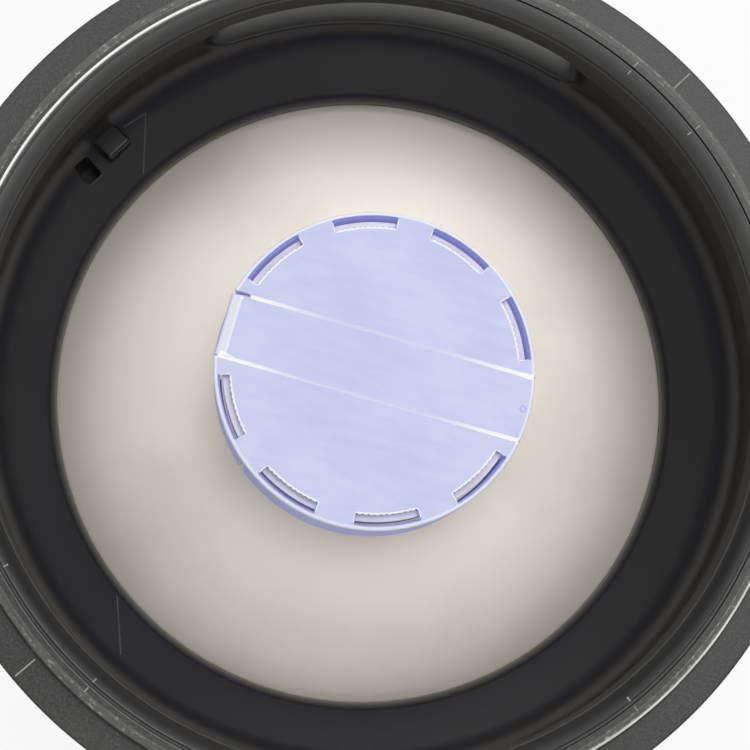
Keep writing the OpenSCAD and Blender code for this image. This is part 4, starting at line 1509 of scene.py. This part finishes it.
class KEG_OT_cap(bpy.types.Operator):
    """Build the tear-off cap with its slots, skirt and strip"""

    bl_idname = "keg.cap"
    bl_label = "Cap"

    def execute(self, context):
        c = context.scene.keg_cap
        place = cap_place(c)
        draw = random.Random(SEED)
        plastic = finish(cap_plastic, "lavender_cap", c)
        white = finish(whitened_plastic, "whitened_plastic")
        # The gate ring's deeper tint is painted shade.
        deeper = finish(cap_plastic, "lavender_gate", c, GATE_TINT)
        make_piece("cap_top", cap_top(c, place), plastic, "cap", ("cap_shell",))
        make_piece("cap_skirt", cap_skirt(c, place), plastic, "cap", weld=False)
        make_piece("snap_ribs", snap_ribs(c, place), plastic, "cap", weld=False)
        make_piece("pull_strip", pull_strip(c, place), plastic, "strip", ("tear_strip",))
        make_piece("tear_webs", tear_webs(c, place, draw), white, "cap", weld=False)
        make_piece("strip_burrs", strip_burrs(c, place, draw), white, "strip", weld=False)
        make_piece("slot_burrs", slot_burrs(c, place, draw), white, "cap", weld=False)
        make_piece("gate_mark", gate_mark(place), deeper, "strip", weld=False)
        return {"FINISHED"}


# Stage


def direction(turn, lean):
    """Unit vector at a turn about the upright axis and a lean off it."""
    return Vector(polar(math.sin(lean), turn, math.cos(lean)))


def soft_light(name, power, size, spot, target):
    """Disc light at a spot, turned to a target."""
    light = bpy.data.lights.new(name, "AREA")
    light.shape = "DISK"
    light.size = size
    light.energy = power
    lamp = bpy.data.objects.new(name, light)
    aim = (target - spot).to_track_quat("-Z", "Y").to_matrix().to_4x4()
    lamp.matrix_world = Matrix.Translation(spot) @ aim
    bpy.context.scene.collection.objects.link(lamp)


class KEG_OT_stage(bpy.types.Operator):
    """Set the floor, the lights and the camera"""

    bl_idname = "keg.stage"
    bl_label = "Stage"

    def execute(self, context):
        scene, s = context.scene, context.scene.keg_stage
        crest = Vector((0, 0, scene.keg_ring.crest_z))
        way = direction(s.lean_to, s.lean)
        right = (-way).cross(Vector((0, 1, 0))).normalized()
        view = Matrix((right, right.cross(-way), way)).transposed().to_4x4()
        view.translation = Vector((s.shift_x, s.shift_y, 0)) + way * s.distance
        lens = bpy.data.cameras.new("camera")
        lens.sensor_width = 36
        lens.lens = s.focal / MM
        lens.clip_start = 10 * MM
        camera = bpy.data.objects.new("camera", lens)
        camera.matrix_world = Matrix.Translation(crest) @ Matrix.Rotation(s.turn, 4, "Z") @ view
        scene.collection.objects.link(camera)
        scene.camera = camera
        spot = crest + direction(s.turn + s.key_turn, s.key_lean) * s.key_far
        soft_light("key_light", s.key, s.key_size, spot, crest)
        self.sky(scene, s)
        self.floor(scene, s)
        scene.view_settings.view_transform = "Standard"
        return {"FINISHED"}

    def sky(self, scene, s):
        """Panel overhead with a darker patch behind the camera, dim walls with two windows, white horizon."""
        world = bpy.data.worlds.new("even_light")
        scene.world = world
        world.use_nodes = True
        g = Graph(world.node_tree)
        way = g.node("ShaderNodeTexCoord", output="Generated")
        x, y, up = g.node("ShaderNodeSeparateXYZ", None, {0: way}, ("X", "Y", "Z"))

        def spot(turn, lean, full, none):
            """1 within an angle of a direction, falling to 0 at a wider one."""
            lean, turn = math.radians(lean), s.turn + math.radians(turn)
            flat = x * math.cos(turn) + y * math.sin(turn)
            near = flat * math.sin(lean) + up * math.cos(lean)
            return g.step(near, math.cos(math.radians(none)), math.cos(math.radians(full)))

        panel = spot(turn=60, lean=8, full=33, none=46)
        panel = panel * (1 - s.patch * spot(turn=190, lean=6, full=5, none=13))
        low = 1 - g.step(up, math.cos(math.radians(78)), math.cos(math.radians(68)))
        windows = spot(turn=90, lean=50, full=10, none=24) + spot(turn=-90, lean=54, full=7, none=17)
        level = s.walls + (s.overhead - s.walls) * panel + (s.horizon - s.walls) * low + s.windows * windows
        background = world.node_tree.nodes["Background"]
        g.feed(background.inputs["Color"], (1, 1, 1))
        g.feed(background.inputs["Strength"], level)

    def floor(self, scene, s):
        """Pale floor that reads as white to the camera and keeps its shadow."""
        skin = Skin()
        corners = ((-1, -1), (1, -1), (1, 1), (-1, 1))
        skin.faces.append(tuple(skin.add([(x * s.floor_reach, y * s.floor_reach, 0) for x, y in corners])))
        mesh = bpy.data.meshes.new("floor")
        mesh.from_pydata(skin.points, [], skin.faces)
        f = Finish("pale_floor", {"Roughness": 0.9, "Base Color": scene.keg_colours.floor})
        camera, glossy, through = f.node("ShaderNodeLightPath", output=(
            "Is Camera Ray", "Is Glossy Ray", "Is Transmission Ray"))
        seen = camera.math("MAXIMUM", camera.math("MAXIMUM", camera, glossy), through)
        glow = f.node("ShaderNodeEmission", None, {"Color": (1, 1, 1), "Strength": 1.0})
        shade = Value(f, f.shader.outputs[0])
        both = f.node("ShaderNodeMixShader", None, {0: seen * s.floor_glow, 1: shade, 2: glow})
        f.feed(f.tree.nodes["Material Output"].inputs["Surface"], both)
        mesh.materials.append(f.material)
        floor = bpy.data.objects.new("floor", mesh)
        scene.collection.objects.link(floor)


OPERATORS = (KEG_OT_stage, KEG_OT_vessel, KEG_OT_handling_ring, KEG_OT_foot_ring, KEG_OT_fitting, KEG_OT_cap)
GROUPS = {
    "keg_vessel": VesselSizes,
    "keg_ring": RingSizes,
    "keg_fitting": FittingSizes,
    "keg_cap": CapSizes,
    "keg_colours": Colours,
    "keg_stage": StageSizes,
}


class KEG_PT_pieces(bpy.types.Panel):
    """Pieces of the keg and their sizes"""

    bl_idname = "KEG_PT_pieces"
    bl_label = "Slim beer keg"
    bl_space_type = "VIEW_3D"
    bl_region_type = "UI"
    bl_category = "Keg"

    def draw(self, context):
        for operator in OPERATORS:
            self.layout.operator(operator.bl_idname)
        for name, group in GROUPS.items():
            box = self.layout.box()
            box.label(text=group.__doc__)
            for prop in group.__annotations__:
                box.prop(getattr(context.scene, name), prop)


def register():
    for name, group in GROUPS.items():
        bpy.utils.register_class(group)
        setattr(bpy.types.Scene, name, PointerProperty(type=group))
    for item in (*OPERATORS, KEG_PT_pieces):
        bpy.utils.register_class(item)


def unregister():
    for item in (KEG_PT_pieces, *reversed(OPERATORS)):
        bpy.utils.unregister_class(item)
    for name, group in reversed(GROUPS.items()):
        delattr(bpy.types.Scene, name)
        bpy.utils.unregister_class(group)


def main():
    register()
    bpy.ops.keg.stage()
    bpy.ops.keg.vessel()
    bpy.ops.keg.handling_ring()
    bpy.ops.keg.foot_ring()
    bpy.ops.keg.fitting()
    bpy.ops.keg.cap()


if __name__ == "__main__":
    main()
